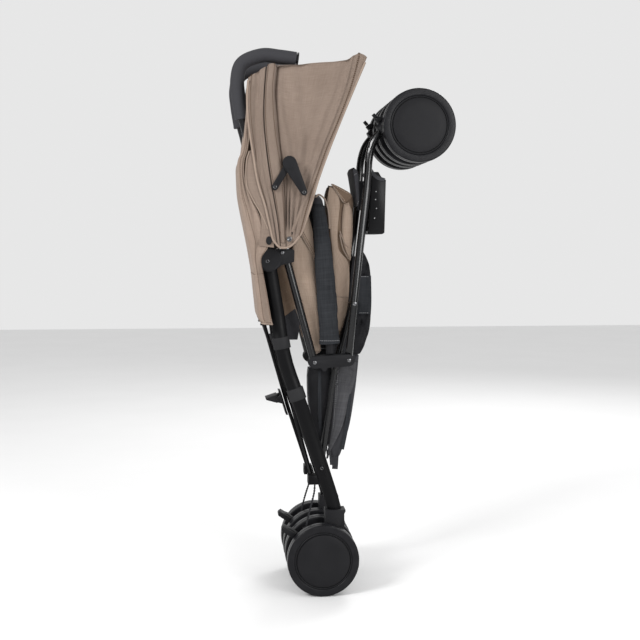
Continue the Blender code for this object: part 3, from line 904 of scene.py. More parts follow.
@dataclass
class Castings:
    """The frame's own rigid pieces, each a merged copy with rounded edges and its finish."""

    frame: Frame
    edge: float = 0.0007
    tube_angle: float = 40.0
    weld: float = 0.000005
    flat_angle: float = 0.6
    band_spare: float = 0.02

    def body_of(self, node: str) -> str:
        """Return the body that a node belongs to."""
        bodies = self.frame.data["record"]["behaviour"]["bodies"]
        return next(name for name, nodes in bodies.items() if node in nodes)

    def slot_of(self, node: str) -> str:
        """Return a node's material slot."""
        rows = self.frame.data["record"]["subparts"]
        return next(row["material_slot"] for row in rows if row["node"] == node)

    def copy(self, node: str, look: Look, edge: float | None = None, spots: Sequence = ()) -> Piece:
        """Make the visible copy of a node.

        Args:
            node: The frame's node.
            look: Its finish.
            edge: Radius of its rounded edges, in metres; 0 leaves them.
            spots: Pairs of a test on a face's middle and the look that such faces get.

        Returns:
            The piece.
        """
        source = self.frame.data["nodes"][node]
        piece = bpy.data.objects.new(f"{node}_finished", source.data.copy())
        bpy.context.collection.objects.link(piece)
        Bench.name(piece, piece.name)
        Bench.edit(piece)
        bpy.ops.mesh.remove_doubles(threshold=self.weld)
        bpy.ops.mesh.dissolve_limited(angle_limit=math.radians(self.flat_angle))
        bpy.ops.object.mode_set(mode="OBJECT")
        width = self.edge if edge is None else edge
        if width:
            Bench.round_edges(piece, width)
        Dress.put(piece, look, self.tube_angle)
        for test, other in spots:
            piece.data.materials.append(other.material)
            index = len(piece.data.materials) - 1
            for face in piece.data.polygons:
                if test(face.center):
                    face.material_index = index
        return Dress.ride(piece, self.body_of(node), self.slot_of(node), node)

    def band_test(self, top: Pair, foot: Pair) -> Callable[[Vector], bool]:
        """Return a test for faces of a leg that lie between a band's two ends.

        Args:
            top: The band's upper end, as x and z.
            foot: Its lower end.

        Returns:
            The test.
        """
        start = self.frame.spot(*top)
        along = self.frame.spot(*foot) - start
        along.y = 0.0

        def test(middle: Vector) -> bool:
            """Tell whether a face's middle is on the band."""
            reach = Vector((middle.x - start.x, 0.0, middle.z - start.z))
            return -self.band_spare <= reach.dot(along) / along.length_squared <= 1.0 + self.band_spare

        return test

    def outside(self, y: float) -> Callable[[Vector], bool]:
        """Return a test for faces further out than y millimetres."""
        return lambda middle: abs(middle.y) > y * MM

    def build(self) -> None:
        """Copy and dress every rigid node that keeps its shape."""
        bands = [(self.band_test((-83.5, 526), (-79.5, 503)), Look.BAND),
                 (self.band_test((-55, 421), (-47, 397.5)), Look.BAND)]
        for side, _ in SIDES:
            self.copy(f"rear_leg_{side}", Look.LEG_PAINT, 0.0006, bands)
            self.copy(f"front_leg_{side}", Look.GLOSS_PAINT, 0.0005, [(self.outside(72.0), Look.BLACK_SCREW)])
            self.copy(f"hub_{side}", Look.PLASTIC, 0.0011, [(self.outside(78.6), Look.BLACK_SCREW)])
            self.copy(f"elbow_{side}", Look.PLASTIC, 0.0010, [(self.outside(77.0), Look.BLACK_SCREW)])
            for node, look, edge in (("handle_tube", Look.GLOSS_PAINT, 0.0), ("side_tube", Look.GLOSS_PAINT, 0.0),
                                     ("side_rail", Look.GLOSS_PAINT, 0.0), ("brace_rod", Look.LEG_PAINT, 0.0004),
                                     ("rear_block", Look.PLASTIC, 0.0012), ("rear_axle", Look.STEEL, 0.0003),
                                     ("front_axle", Look.STEEL, 0.0003), ("brake_pedal", Look.PLASTIC, 0.0012),
                                     ("castor_socket", Look.PLASTIC, 0.0012), ("castor_fork", Look.PLASTIC, 0.0014),
                                     ("swivel_lock", Look.PLASTIC, 0.0010), ("strut_rear", Look.PLASTIC, 0.0016),
                                     ("strut_front", Look.PLASTIC, 0.0016)):
                self.copy(f"{node}_{side}", look, edge)
        for node, look, edge in (("latch_plate", Look.PLASTIC, 0.0008), ("fold_pedal", Look.PLASTIC, 0.0012),
                                 ("canopy_front_bow", Look.LEG_PAINT, 0.0),
                                 ("canopy_rear_bow", Look.LEG_PAINT, 0.0), ("footrest", Look.TRAY, 0.0012)):
            self.copy(node, look, edge)


@dataclass
class Wheel:
    """Foam tyre on a moulded disc, modelled once and copied to each of the eight places."""

    frame: Frame
    radius: float = 0.0732
    width: float = 0.0276
    disc_radius: float = 0.0583
    shoulder: float = 0.0026
    disc_inset: float = 0.0022
    groove: float = 0.0024
    seam_half: float = 0.0009
    seam_depth: float = 0.00045
    sides: int = 96
    smooth: float = 28.0

    def tyre(self) -> Piece:
        """Return the tyre at the origin: a ring with round shoulders and a fine moulding line.

        Returns:
            The piece.
        """
        ring = Bench.cylinder("tyre", Vector(), self.radius, self.width, self.sides)
        Bench.pick(ring, lambda middle, normal: abs(normal.y) > 0.9)
        bpy.ops.mesh.inset(thickness=self.radius - self.disc_radius, depth=0.0, use_individual=True)
        bpy.ops.mesh.bridge_edge_loops()
        bpy.ops.object.mode_set(mode="OBJECT")
        Bench.round_edges(ring, self.shoulder, segments=6, angle=50.0)
        Bench.pick(ring, lambda middle, normal: abs(middle.y) < 0.001)
        Bench.inset(((self.width / 2 - self.shoulder - self.seam_half, 0.0), (0.0008, self.seam_depth)))
        return Dress.put(Bench.close(ring), Look.TYRE, self.smooth)

    def disc(self) -> Piece:
        """Return the disc at the origin: slightly domed outside, dished and bored inside.

        Returns:
            The piece.
        """
        disc = Bench.cylinder("disc", Vector(), self.disc_radius, self.width - self.disc_inset, self.sides)
        Bench.pick(disc, lambda middle, normal: normal.y < -0.9)
        Bench.inset(((0.0012, 0.0007), (0.0014, -0.0002), (0.0004, -self.groove), (0.0014, 0.0),
                     (0.0004, self.groove + 0.0006), (0.016, 0.0007), (0.020, 0.0003)))
        Bench.pick(disc, lambda middle, normal: normal.y > 0.9)
        Bench.inset(((0.004, 0.0), (0.002, -0.0065), (0.034, 0.0), (0.001, 0.0055), (0.0085, 0.0), (0.0003, -0.0100)))
        Bench.round_edges(disc, width=0.00045, angle=40.0)
        return Dress.put(Bench.close(disc), Look.RIM, self.smooth)

    def build(self) -> None:
        """Put a tyre and a disc on each wheel's place, with the plain side outwards."""
        masters = (("tyre", self.tyre()), ("disc", self.disc()))
        for side, _ in SIDES:
            for end in ("rear", "front"):
                for place in ("outer", "inner"):
                    self.fit(f"{end}_wheel_{side}_{place}", masters)
        for _, master in masters:
            bpy.data.objects.remove(master)

    def fit(self, node: str, masters: Sequence[tuple[str, Piece]]) -> None:
        """Copy the tyre and the disc to one wheel.

        Args:
            node: The wheel's node.
            masters: Name and model of the tyre and the disc.
        """
        low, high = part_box(node)
        centre = (low + high) / 2
        plain_side_back = ("outer" in node) == (centre.y > 0)
        parts = []
        for part, master in masters:
            piece = Bench.copy(master, f"{node}_{part}", Vector())
            Bench.take(piece)
            if plain_side_back:
                piece.rotation_euler = (0.0, 0.0, math.pi)
            piece.location = centre
            Bench.settle(piece)
            parts.append(piece)
        Dress.ride(parts[0], node, "wheel", node)
        Dress.ride(parts[1], node, "wheel")


@dataclass
class Grip:
    """Foam sleeve over a handle's hooked end."""

    frame: Frame
    side: str
    sign: int
    radius: float = 0.0140
    flare: float = 0.0006
    flare_fall: float = 30.0
    tube_y: float = 63
    spread: float = 12

    def build(self) -> None:
        """Model the foam along the handle's hooked end, with a flared mouth."""
        path = [self.frame.spot(x, z, self.sign * (self.tube_y + self.spread * min(1.0, max(0.0, (z - 800) / 160))))
                for x, z in ((-159, 962), (-163, 985), (-166, 1005), (-168.5, 1040), (-158, 1072),
                             (-120, 1088), (-84, 1086), (-51.5, 1082))]
        line = Bench.smooth_line(path, 12)
        foam = Bench.tube(f"grip_foam_{self.side}", line, self.half, sides=32)
        Bench.round_edges(foam, width=0.0016, segments=3, angle=60.0)
        Dress.put(foam, Look.GRIP, 50.0)
        Dress.ride(foam, "upper_frame", "grip_foam", f"grip_{self.side}")

    def half(self, share: float) -> Pair:
        """Return the foam's half widths, with a slightly fuller mouth."""
        swell = self.flare * math.exp(-share * self.flare_fall)
        return (self.radius + swell, self.radius + swell)


def hermite(share: float) -> float:
    """Return a soft step from 0 to 1, for borders as hermite((place - start) / width)."""
    share = min(1.0, max(0.0, share))
    return share * share * (3.0 - 2.0 * share)


def hump(value: float, centre: float, width: float) -> float:
    """Return a smooth hump of height 1 about a centre, for folds as depth * hump(place, centre, width)."""
    return math.exp(-((value - centre) / width) ** 2)


def along_knots(knots: Sequence[Vector], share: float) -> Vector:
    """Return the point of a Catmull-Rom curve through knots at a share of their count.

    Args:
        knots: The curve's knots.
        share: Share of the way, from 0 to 1.

    Returns:
        The place.
    """
    reach = min(max(share, 0.0), 1.0) * (len(knots) - 1)
    i = min(int(reach), len(knots) - 2)
    t = reach - i
    p1, p2 = knots[i], knots[i + 1]
    p0 = knots[i - 1] if i else 2 * p1 - p2
    p3 = knots[i + 2] if i + 2 < len(knots) else 2 * p2 - p1
    return 0.5 * (2 * p1 + (p2 - p0) * t + (2 * p0 - 5 * p1 + 4 * p2 - p3) * t * t
                  + (3 * p1 - p0 - 3 * p2 + p3) * t ** 3)


@dataclass
class Canopy:
    """Sun canopy: one sheet over two bows, its hems and stitching, folded over the seat.

    Each station is a line on the cloth's side from its foot by the pivot up to the top edge.
    """

    frame: Frame
    half_width: float = 104.0
    corner: float = 16.0
    sag: float = 7.0
    cloth: float = 0.0011
    tape_cloth: float = 0.0009
    size: Pair = (0.50, 0.86)
    split: float = 0.76
    corner_share: float = 0.45
    across: int = 150
    along: int = 170
    pivot: Pair = (-68.0, 725.0)
    stations: tuple[Line, ...] = (
        ((-100, 723), (-110, 765), (-117, 795), (-130, 838), (-140, 899), (-148, 955), (-150, 1005), (-147, 1042)),
        ((-91, 712), (-98, 760), (-105, 800), (-115, 851), (-122, 909), (-127, 960), (-128, 1010), (-126, 1056)),
        ((-84, 708), (-88, 755), (-94, 795), (-103, 851), (-111, 909), (-115, 962), (-114, 1016), (-109, 1065)),
        ((-74, 708), (-76, 755), (-77, 800), (-81, 865), (-88, 915), (-93, 965), (-95, 1020), (-90, 1068)),
        ((-66, 711), (-67, 750), (-66, 802), (-62, 850), (-56, 900), (-50, 950), (-42, 1010), (-31, 1072)),
        ((-58, 717), (-57, 745), (-50, 792), (-36, 850), (-20, 905), (-2, 960), (21, 1022), (40, 1079)),
        ((-51, 726), (-45, 748), (-34, 792), (-17, 845), (4, 905), (26, 958), (50, 1022), (68, 1091)),
        ((-45, 735), (-36, 757), (-24, 794), (-9, 845), (13, 905), (36, 962), (61, 1022), (88, 1085)))

    def __post_init__(self) -> None:
        """Turn the stations into places once."""
        self.lines = [self.frame.line(station) for station in self.stations]

    def surface(self, u: float, v: float, out: float = 0.0) -> Vector:
        """Return a place on the cloth.

        Args:
            u: Share of the way from the rear edge to the front edge.
            v: Share of the way from the right foot over the top to the left foot.
            out: Metres that the place stands off the cloth.

        Returns:
            The place.
        """
        side = -1.0 if v < 0.5 else 1.0
        rise = 2.0 * min(v, 1.0 - v)
        height = min(1.0, rise / self.split)
        level = [along_knots(line, height) for line in self.lines]
        point = along_knots(level, u)
        depth = self.fold(u, height) - out
        if rise <= self.split:
            near_top = hermite((height - 0.90) / 0.10)
            point.y = side * (self.half_width * MM - depth - self.corner * MM * self.corner_share * near_top ** 2)
            return point
        share = (rise - self.split) / (1.0 - self.split)
        turn = min(1.0, share / 0.22)
        start = (self.half_width - self.corner * self.corner_share) * MM
        point.y = side * start * (1.0 - share)
        bow = max(hump(u, 0.40, 0.10), hump(u, 0.97, 0.16), 0.5 * hump(u, 0.0, 0.06))
        droop = self.sag * MM * (1.0 - bow) * math.sin(share * math.pi / 2)
        wrinkle = 0.0015 * math.sin(u * 24.0 + 3.0 * point.y / 0.1) * (1.0 - bow) * share
        lift = 0.0022 * math.sin(turn * math.pi / 2) - droop + wrinkle
        point.z += lift + out - depth * (1.0 - turn) * 0.4
        return point

    def fold(self, u: float, height: float) -> float:
        """Return how far the side lies inwards, in metres, at a place on it.

        Each term is a fold's depth times humps or steps at its place across and up the side.

        Args:
            u: Share of the way across.
            height: Share of the way up or down.

        Returns:
            The depth in metres.
        """
        low = 1.0 - hermite((height - 0.10) / 0.42)
        foot = hermite(height / 0.16)
        tuck = 0.0085 * hump(u, 0.266, 0.009) + 0.0034 * hump(u, 0.140, 0.016) * (0.25 + low)
        tuck += 0.0060 * hump(u, 0.430, 0.010)
        under = hermite((u - 0.418) / 0.012) * math.exp(-max(0.0, u - 0.42) / 0.11) * 0.0100
        under *= 0.55 + 0.45 * hermite((height - 0.05) / 0.3)
        fan = 0.0
        for centre, width, deep in ((0.475, 0.018, 0.0085), (0.560, 0.020, 0.0120), (0.655, 0.026, 0.0090),
                                    (0.745, 0.022, 0.0055)):
            fan += deep * hump(u, centre + 0.05 * (height - 0.2), width) * low * foot
        slant = u * 1.15 - (1.0 - height) * 0.34
        soft = 0.0056 * hump(slant, 0.36, 0.05) + 0.0062 * hump(slant, 0.50, 0.042)
        soft += 0.0040 * hump(slant, 0.62, 0.036) + 0.0036 * hump(u, 0.66, 0.04) * hump(height, 0.55, 0.25)
        soft *= hermite((u - 0.45) / 0.05) * hermite((height - 0.25) / 0.2)
        crease = 0.0042 * hermite((u - 0.62) / 0.08) * (1.0 - hermite((u - 0.835) / 0.03))
        crease += 0.0040 * hump(u, 0.750, 0.026) - 0.0040 * hump(u, 0.805, 0.018)
        crease *= hermite((height - 0.15) / 0.25) * (1.0 - 0.4 * height)
        rear = 0.0042 * hump(u + 0.05 * math.sin(height * 5.0), 0.07, 0.035) * hermite(height / 0.3)
        ripple = 0.0012 * noise.noise(Vector((u * 18.0, height * 7.0, 0.3)))
        deep = 0.0012 + tuck + under + fan + soft + crease + rear + ripple
        flat = hump(height, 0.06, 0.10) * hump(u, 0.52, 0.20)
        return max(0.0004, deep + (0.0010 - deep) * flat)

    def shell(self) -> Piece:
        """Model the cloth and give it its thickness.

        Returns:
            The piece.
        """
        cover = Bench.sheet("canopy_cloth", self.across, self.along, self.surface, self.size)
        Bench.thicken(cover, self.cloth)
        return Dress.put(cover, Look.TAN, SOFT_ANGLE)

    def tape(self, name: str, u_low: float, u_high: float, rise: float, look: Look) -> Piece:
        """Lay a band of cloth over the canopy from one foot to the other.

        Args:
            name: The piece's name.
            u_low: Share where the band starts.
            u_high: Share where it ends.
            rise: Metres that its middle stands off the cloth.
            look: Its finish.

        Returns:
            The piece.
        """
        def place(u: float, v: float) -> Vector:
            """Return a place on the band, which is highest along its middle."""
            puff = (1.0 - (2.0 * u - 1.0) ** 4) * rise
            return self.surface(u_low + (u_high - u_low) * u, 0.012 + 0.976 * v, puff + 0.0002)

        band = Bench.sheet(name, 8, self.along, place, (abs(u_high - u_low) * self.size[0], self.size[1]))
        Bench.thicken(band, self.tape_cloth)
        return Dress.put(band, look, SOFT_ANGLE)

    def row(self, u: float, out: float, v_low: float = 0.01, v_high: float = 0.99) -> list[Vector]:
        """Return a line along the cloth for a row of stitches."""
        count = 200
        return [self.surface(u, v_low + (v_high - v_low) * i / count, out) for i in range(count + 1)]

    def border(self, side: int) -> Piece:
        """Model the bound edge that runs in a U round one pivot.

        Args:
            side: -1 for the right side, 1 for the left.

        Returns:
            The piece.
        """
        edge = []
        count, arm, top = 120, 0.42, 0.37
        for i in range(count + 1):
            share = i / count
            u = min(1.0, max(0.0, (share - arm) / 0.16))
            height = max(0.0, 1.0 - share / arm) if share < 0.5 else max(0.0, (share - 0.58) / arm)
            rise = top * height
            edge.append(self.surface(u, rise if side < 0 else 1.0 - rise, 0.0))
        line = Bench.smooth_line(edge[::2], 3)
        for point in line:
            point.y = math.copysign(self.half_width * MM - 0.0010, side)
        name = "right" if side < 0 else "left"
        bound = Bench.tube(f"canopy_border_{name}", line, lambda share: (0.0022, 0.0015), sides=12)
        return Dress.put(bound, Look.TAN_BINDING, SOFT_ANGLE)

    def casing(self, bow: str, tip: Pair, arm: float, body: str) -> None:
        """Model the cloth channel that a bow runs in, from one pivot over the top to the other.

        Args:
            bow: Which bow, front or rear.
            tip: The bow's top, as x and z.
            arm: Millimetres from the middle plane to its arm.
            body: The body that carries it.
        """
        x, z = self.pivot
        side = ((arm, 0.04), (arm, 0.50), (arm, 0.90), (arm - 3.0, 0.972), (arm - 10.0, 1.0))
        knots = [self.frame.spot(x + (tip[0] - x) * rise, z + (tip[1] - z) * rise, y)
                 for y, rise in (*((-y, rise) for y, rise in side), (0.0, 1.0), *side[::-1])]
        line = Bench.even_line(Bench.smooth_line(knots, 8), 0.006)
        channel = Bench.tube(f"canopy_{bow}_bow_casing", line, lambda share: (0.0044, 0.0044), sides=14,
                             side=Vector((1.0, 0.0, 0.0)))
        Dress.ride(Dress.put(channel, Look.TAN, SOFT_ANGLE), body, "cover_cloth")

    def build(self) -> None:
        """Model the canopy; its bow casings and pivot screws ride the frame and the front bow."""
        shell = self.shell()
        sleeve = self.tape("canopy_bow_sleeve", u_low=0.285, u_high=0.412, rise=0.0022, look=Look.TAN)
        hem = self.tape("canopy_front_hem", u_low=0.865, u_high=0.999, rise=0.0014, look=Look.TAN)
        rows = [self.row(u, 0.0022) for u in (0.292, 0.405)]
        rows += [self.row(0.882, 0.0019), self.row(0.895, 0.0019), self.row(0.04, 0.0014, 0.10, 0.90)]
        seams = Bench.stitches("canopy_stitching", rows, Look.TAN_THREAD)
        parts = [shell, sleeve, hem, seams]
        for bow, tip, arm, body in (("front", (80, 1072), 97.5, "canopy_bow"),
                                    ("rear", (-103, 1044), 88.5, "upper_frame")):
            self.casing(bow, tip, arm, body)
        for side, sign in SIDES:
            parts.append(self.border(sign))
            pin = Bench.cylinder(f"canopy_pivot_screw_{side}", self.frame.spot(*self.pivot, sign * 105.2),
                                 radius=0.0052, width=0.0036, sides=24)
            Bench.recess(pin, ((0.0022, 0.0), (0.0003, -0.0014)), edge=0.0006)
            Dress.ride(Dress.put(pin, Look.BLACK_SCREW, HARD_ANGLE), "upper_frame", "moulding")
        for piece in parts:
            self.frame.spot(-100, 900)
            self.frame.spot(40, 960)
            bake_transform(piece)
        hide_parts("canopy_cover")


@dataclass
class Curtain:
    """Tan back cloth behind the handles, from the canopy down to the rear legs."""

    frame: Frame
    half_width: float = 95.0
    cloth: float = 0.0010
    size: Pair = (0.28, 0.45)
    flank: float = 0.20
    shoulder: float = 0.006
    thread_off: float = 0.0011
    back: Line = ((-150, 986), (-155, 937), (-160, 900), (-168, 878), (-168, 850), (-166, 815),
                              (-160, 780), (-154, 750), (-148, 720), (-142, 687), (-137, 655), (-134, 624),
                              (-131, 595), (-128, 570), (-122, 556))
    front: Line = ((-143, 986), (-144, 937), (-149, 900), (-155, 878), (-155, 850), (-146, 815),
                               (-130, 780), (-120, 750), (-109, 713), (-123, 687), (-119, 657), (-113, 624),
                               (-108, 595), (-104, 570), (-100, 553))

    def __post_init__(self) -> None:
        """Turn the outlines into places once."""
        self.back_line = self.frame.line(self.back)
        self.front_line = self.frame.line(self.front)

    def surface(self, u: float, v: float, out: float = 0.0) -> Vector:
        """Return a place on the cloth.

        Args:
            u: Share from the right front edge, round the back, to the left front edge.
            v: Share from the bottom to the top.
            out: Metres that the place stands off the cloth.

        Returns:
            The place.
        """
        back = along_knots(self.back_line, 1.0 - v)
        front = along_knots(self.front_line, 1.0 - v)
        side = -1.0 if u < 0.5 else 1.0
        reach = min(u, 1.0 - u) / self.flank
        half = self.half_width * MM
        pleat = 0.0022 * math.sin(v * 9.0 + reach * 2.5) * hump(v, 0.75, 0.25)
        if reach <= 1.0:
            point = front.lerp(back, reach)
            round_off = hermite((reach - 0.72) / 0.28)
            fold = 0.0045 * hump(reach, 0.42 + 0.18 * math.sin(v * 6.0), 0.12) * hump(v, 0.62, 0.30)
            fold += 0.0030 * hump(reach, 0.75, 0.06) * hermite((v - 0.45) / 0.15)
            ripple = 0.0006 * noise.noise(Vector((reach * 4.0, v * 14.0, 2.0)))
            tuck = 0.012 * (1.0 - hermite(reach / 0.75)) * (1.0 - hermite((v - 0.26) / 0.12))
            point.y = side * (half - self.shoulder * round_off ** 2 - fold - ripple - tuck + out)
            point.x -= out * round_off
            return point
        share = (reach - 1.0) / 1.5
        point = back.copy()
        point.y = side * (half - self.shoulder) * (1.0 - share)
        gather = 0.0035 * math.sin(point.y * 95.0 + 5.0 * v) * math.sin(math.pi * min(1.0, v * 1.15))
        sag = 0.004 * math.sin(share * math.pi / 2) * math.sin(v * math.pi)
        point.x += gather * share + sag + pleat * share - out
        return point

    def row(self, u_low: float, v_low: float, u_high: float, v_high: float) -> list[Vector]:
        """Return a line for stitches over the cloth between two of its places.

        Args:
            u_low: Share across where the line starts.
            v_low: Share along where it starts.
            u_high: Share across where it ends.
            v_high: Share along where it ends.

        Returns:
            The line's points.
        """
        count = 120
        shares = [i / count for i in range(count + 1)]
        return [self.surface(u_low + (u_high - u_low) * s, v_low + (v_high - v_low) * s, self.thread_off)
                for s in shares]

    def build(self) -> None:
        """Model the cloth, its seams and the binding of its lower edge."""
        cover = Bench.sheet("back_curtain_cloth", 110, 150, self.surface, self.size)
        Bench.thicken(cover, self.cloth)
        # The curtain's paler tan is painted light.
        Dress.put(cover, Look.LIT_BACK_TAN, SOFT_ANGLE)
        rows = [self.row(u, 0.03, u, 0.97) for u in (0.012, 0.130, 0.870, 0.988)]
        rows += [self.row(0.02, 0.02, 0.98, 0.02), self.row(0.01, 0.285, 0.99, 0.285)]
        seams = Bench.stitches("back_curtain_stitching", rows, Look.TAN_THREAD)
        line = [self.surface(i / 80, 0.004, 0.0) for i in range(81)]
        bound = Bench.tube("back_curtain_binding", line, lambda share: (0.0016, 0.0016), sides=10,
                           side=Vector((0.0, 0.0, 1.0)))
        Dress.put(bound, Look.TAN_BINDING, SOFT_ANGLE)
        for piece in (cover, seams, bound):
            tuple(self.frame.spot(-120, 730))
            tuple(self.frame.spot(-112, 600))
            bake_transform(piece)
            log.info("%s joins upper_frame and rear_frame", piece.name)
        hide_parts("back_curtain")


@dataclass
class Loft:
    """A soft closed form between two edge lines seen from the side, stuffed across its width.

    The edges run from top to bottom as x and z pairs, and the section between them is a rounded
    rectangle as wide as half_y to each side of its middle.
    """

    frame: Frame
    left: Line
    right: Line
    half_y: float
    square: float = 0.45
    ends: float = 0.04
    end_width: float = 0.35
    relief: Callable[[float, float], float] = lambda share, height: 0.0
    round_steps: int = 72
    high_steps: int = 90

    def place(self, u: float, v: float, out: float = 0.0) -> Vector:
        """Return a place on the form.

        Args:
            u: Share round the section, from the left edge over the near side.
            v: Share from top to bottom.
            out: Metres off the surface.

        Returns:
            The place.
        """
        a = along_knots(self.frame.line(self.left), v)
        b = along_knots(self.frame.line(self.right), v)
        taper = hermite(min(v, 1.0 - v) / self.ends) ** 0.5
        turn = u * math.tau
        c, s = math.cos(turn), math.sin(turn)
        flat = math.copysign(abs(c) ** self.square, c)
        deep = math.copysign(abs(s) ** self.square, s)
        share = 0.5 - 0.5 * flat * taper
        point = a.lerp(b, share)
        inward = self.relief(share, v) * abs(deep)
        half = (self.half_y * MM - inward) * (self.end_width + (1.0 - self.end_width) * taper)
        point.y = -(half + out) * deep
        return point

    def side(self, share: float, v: float, out: float, sign: int) -> Vector:
        """Return a place on the near or far face, at a share from the left to the right edge.

        Args:
            share: Share of the way, from 0 to 1.
            v: Share of the way along.
            out: Metres off the surface.
            sign: -1 for the right side, 1 for the left.

        Returns:
            The place.
        """
        flat = max(-1.0, min(1.0, 1.0 - 2.0 * share))
        c = math.copysign(abs(flat) ** (1.0 / self.square), flat)
        turn = math.acos(max(-1.0, min(1.0, c))) / math.tau
        return self.place(turn if sign < 0 else 1.0 - turn, v, out)

    def row(self, start: Pair, end: Pair, sign: int) -> list[Vector]:
        """Return a line over one face between two pairs of share across and share down.

        Args:
            start: Where the line starts, as share across and share down.
            end: Where it ends.
            sign: -1 for the right side, 1 for the left.

        Returns:
            The line's points.
        """
        count = 60
        return [self.side(start[0] + (end[0] - start[0]) * i / count,
                          start[1] + (end[1] - start[1]) * i / count, THREAD_RISE, sign) for i in range(count + 1)]

    def model(self, name: str, look: Look) -> Piece:
        """Model the form as a closed piece.

        Args:
            name: The piece's name.
            look: The finish.

        Returns:
            The piece.
        """
        height = (self.frame.spot(*self.left[0]) - self.frame.spot(*self.left[-1])).length
        piece = Bench.sheet(name, self.round_steps, self.high_steps, self.place,
                            (self.half_y * 6 * MM, height))
        return Dress.put(Bench.close(piece), look, SOFT_ANGLE)


def patch(name: str, frame: Frame, left: Sequence[Pair], right: Sequence[Pair], y: float, look: Look,
          puff: float = 1.5, thick: float = 0.0011) -> Piece:
    """Model a flat panel of cloth between two edge lines, with a slight swell.

    Args:
        name: The piece's name.
        frame: The frame.
        left: The left edge from top to bottom, as x and z pairs.
        right: The right edge from top to bottom.
        y: Millimetres from the middle plane.
        look: Its finish.
        puff: Millimetres that its middle stands out.
        thick: The cloth's thickness in metres.

    Returns:
        The piece.
    """
    out = math.copysign(1.0, y)

    def place(u: float, v: float) -> Vector:
        """Return a place on the panel.

        Args:
            u: Share of the way across.
            v: Share of the way along.

        Returns:
            The place.
        """
        point = along_knots(frame.line(left), v).lerp(along_knots(frame.line(right), v), u)
        swell = puff * (1.0 - (2.0 * u - 1.0) ** 4) * (1.0 - (2.0 * v - 1.0) ** 6)
        ripple = 0.3 * noise.noise(Vector((u * 5.0, v * 9.0, y)))
        point.y = (y + out * (swell + ripple)) * MM
        return point

    low, high = frame.spot(*left[0]), frame.spot(*left[-1])
    width = (frame.spot(*left[len(left) // 2]) - frame.spot(*right[len(right) // 2])).length
    panel = Bench.sheet(name, 24, 48, place, (width, (low - high).length))
    Bench.thicken(panel, thick, 0.0)
    Bench.close(panel)
    return Dress.put(panel, look, SOFT_ANGLE)


def panels(frame: Frame, side: str, sign: int, rows: Sequence[tuple]) -> list[Piece]:
    """Model one side's panels, each from its name, edges, distance from the middle, look and more for patch."""
    return [patch(f"{name}_{side}", frame, left, right, sign * y, look, *more)
            for name, left, right, y, look, *more in rows]


def edges(frame: Frame, side: str, sign: int, rows: Sequence[tuple[str, Sequence[Pair], float, float, Look]],
          pitch: float = 0.003) -> list[Piece]:
    """Model one side's bound edges and piping, each from its name, points, distance, radius and look.

    Args:
        frame: The frame.
        side: The side, right or left.
        sign: -1 for the right side, 1 for the left.
        rows: One row for each piece.
        pitch: Metres between the points of a line.

    Returns:
        The pieces.
    """
    made = []
    for name, points, y, radius, look in rows:
        line = Bench.even_line(Bench.smooth_line(frame.line(points, sign * y), 8), pitch)
        tube = Bench.tube(f"{name}_{side}", line, lambda share: (radius, radius), sides=10)
        made.append(Dress.put(tube, look, SOFT_ANGLE))
    return made


@dataclass
class SeatCloth:
    """Seat side between the side tube and the bumper bar, with its pointed flap."""

    frame: Frame
    flap: Line = ((-50, 750), (-40, 735), (-27, 712), (-13, 688))
    left: Line = ((-48, 728), (-62, 700), (-61, 655), (-44, 596), (-28, 535), (-14, 486))
    right: Line = ((-20, 752), (-13, 710), (-9, 650), (-4, 600), (0, 545), (3, 486))

    def relief(self, share: float, height: float) -> float:
        """Return how far the cloth lies in at a place on its side, in metres.

        Args:
            share: Share of the way, from 0 to 1.
            height: Share of the way up or down.

        Returns:
            The depth in metres.
        """
        lean = share + 0.35 * height
        deep = 0.0028 * hump(lean, 0.55, 0.07) * hump(height, 0.35, 0.3)
        deep += 0.0020 * hump(share, 0.30 + 0.3 * height, 0.06) * hump(height, 0.7, 0.25)
        return deep + 0.0005 * noise.noise(Vector((share * 5.0, height * 8.0, 1.0)))

    def build(self) -> None:
        """Model the seat, its flaps, its back and base cloths, the light bound edges and the stitching."""
        form = Loft(self.frame, self.left, self.right, half_y=46.0, square=0.28, relief=self.relief)
        # The seat cloth and its flaps use the paler tan: painted light.
        seat = form.model("seat_cloth", Look.LIT_SEAT_TAN)
        parts, rows = [seat], []
        for side, sign in SIDES:
            parts += panels(self.frame, side, sign, (
                ("seat_flap", self.flap, ((-24, 772), (-17, 745), (-15, 722), (-12, 687)), 48.2, Look.LIT_SEAT_TAN, 0.8),
                # The seat back cloth is darkened tan: painted shade.
                ("seat_back_cloth", ((-90, 690), (-86, 650), (-80, 610), (-74, 566)),
                 ((-66, 700), (-62, 670), (-52, 625), (-44, 588)), 30.0, Look.TAN_SHADE, 1.2),
                ("seat_base", ((-74, 574), (-72, 560), (-70, 540), (-66, 518)),
                 ((-46, 592), (-42, 566), (-42, 545), (-46, 518)), 28.0, Look.BLACK, 0.8)))
            parts += edges(self.frame, side, sign, (
                ("seat_base_edge", ((-52, 590), (-44, 566), (-36, 540), (-30, 518)), 30.5, 0.0013, Look.TAN_BINDING),
                ("seat_flap_hem", self.flap, 48.6, 0.0012, Look.TAN_BINDING),
                ("seat_edge", ((-16, 798), (-6, 815), (4, 811), (10, 803), (15, 786), (17, 768), (18, 745)),
                 50.0, 0.0018, Look.TAN_BINDING)))
            for shift in (3.0, 6.5):
                rows.append(self.frame.line([(x + shift * 0.85, z + shift * 0.5) for x, z in
                                             ((-48, 747), (-40, 734), (-27, 711), (-15, 690))], sign * 49.9))
        parts.append(Bench.stitches("seat_stitching", rows, Look.TAN_THREAD))
        for piece in parts:
            Dress.ride(piece, "upper_frame", "cover_cloth")
        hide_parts("seat_pad")


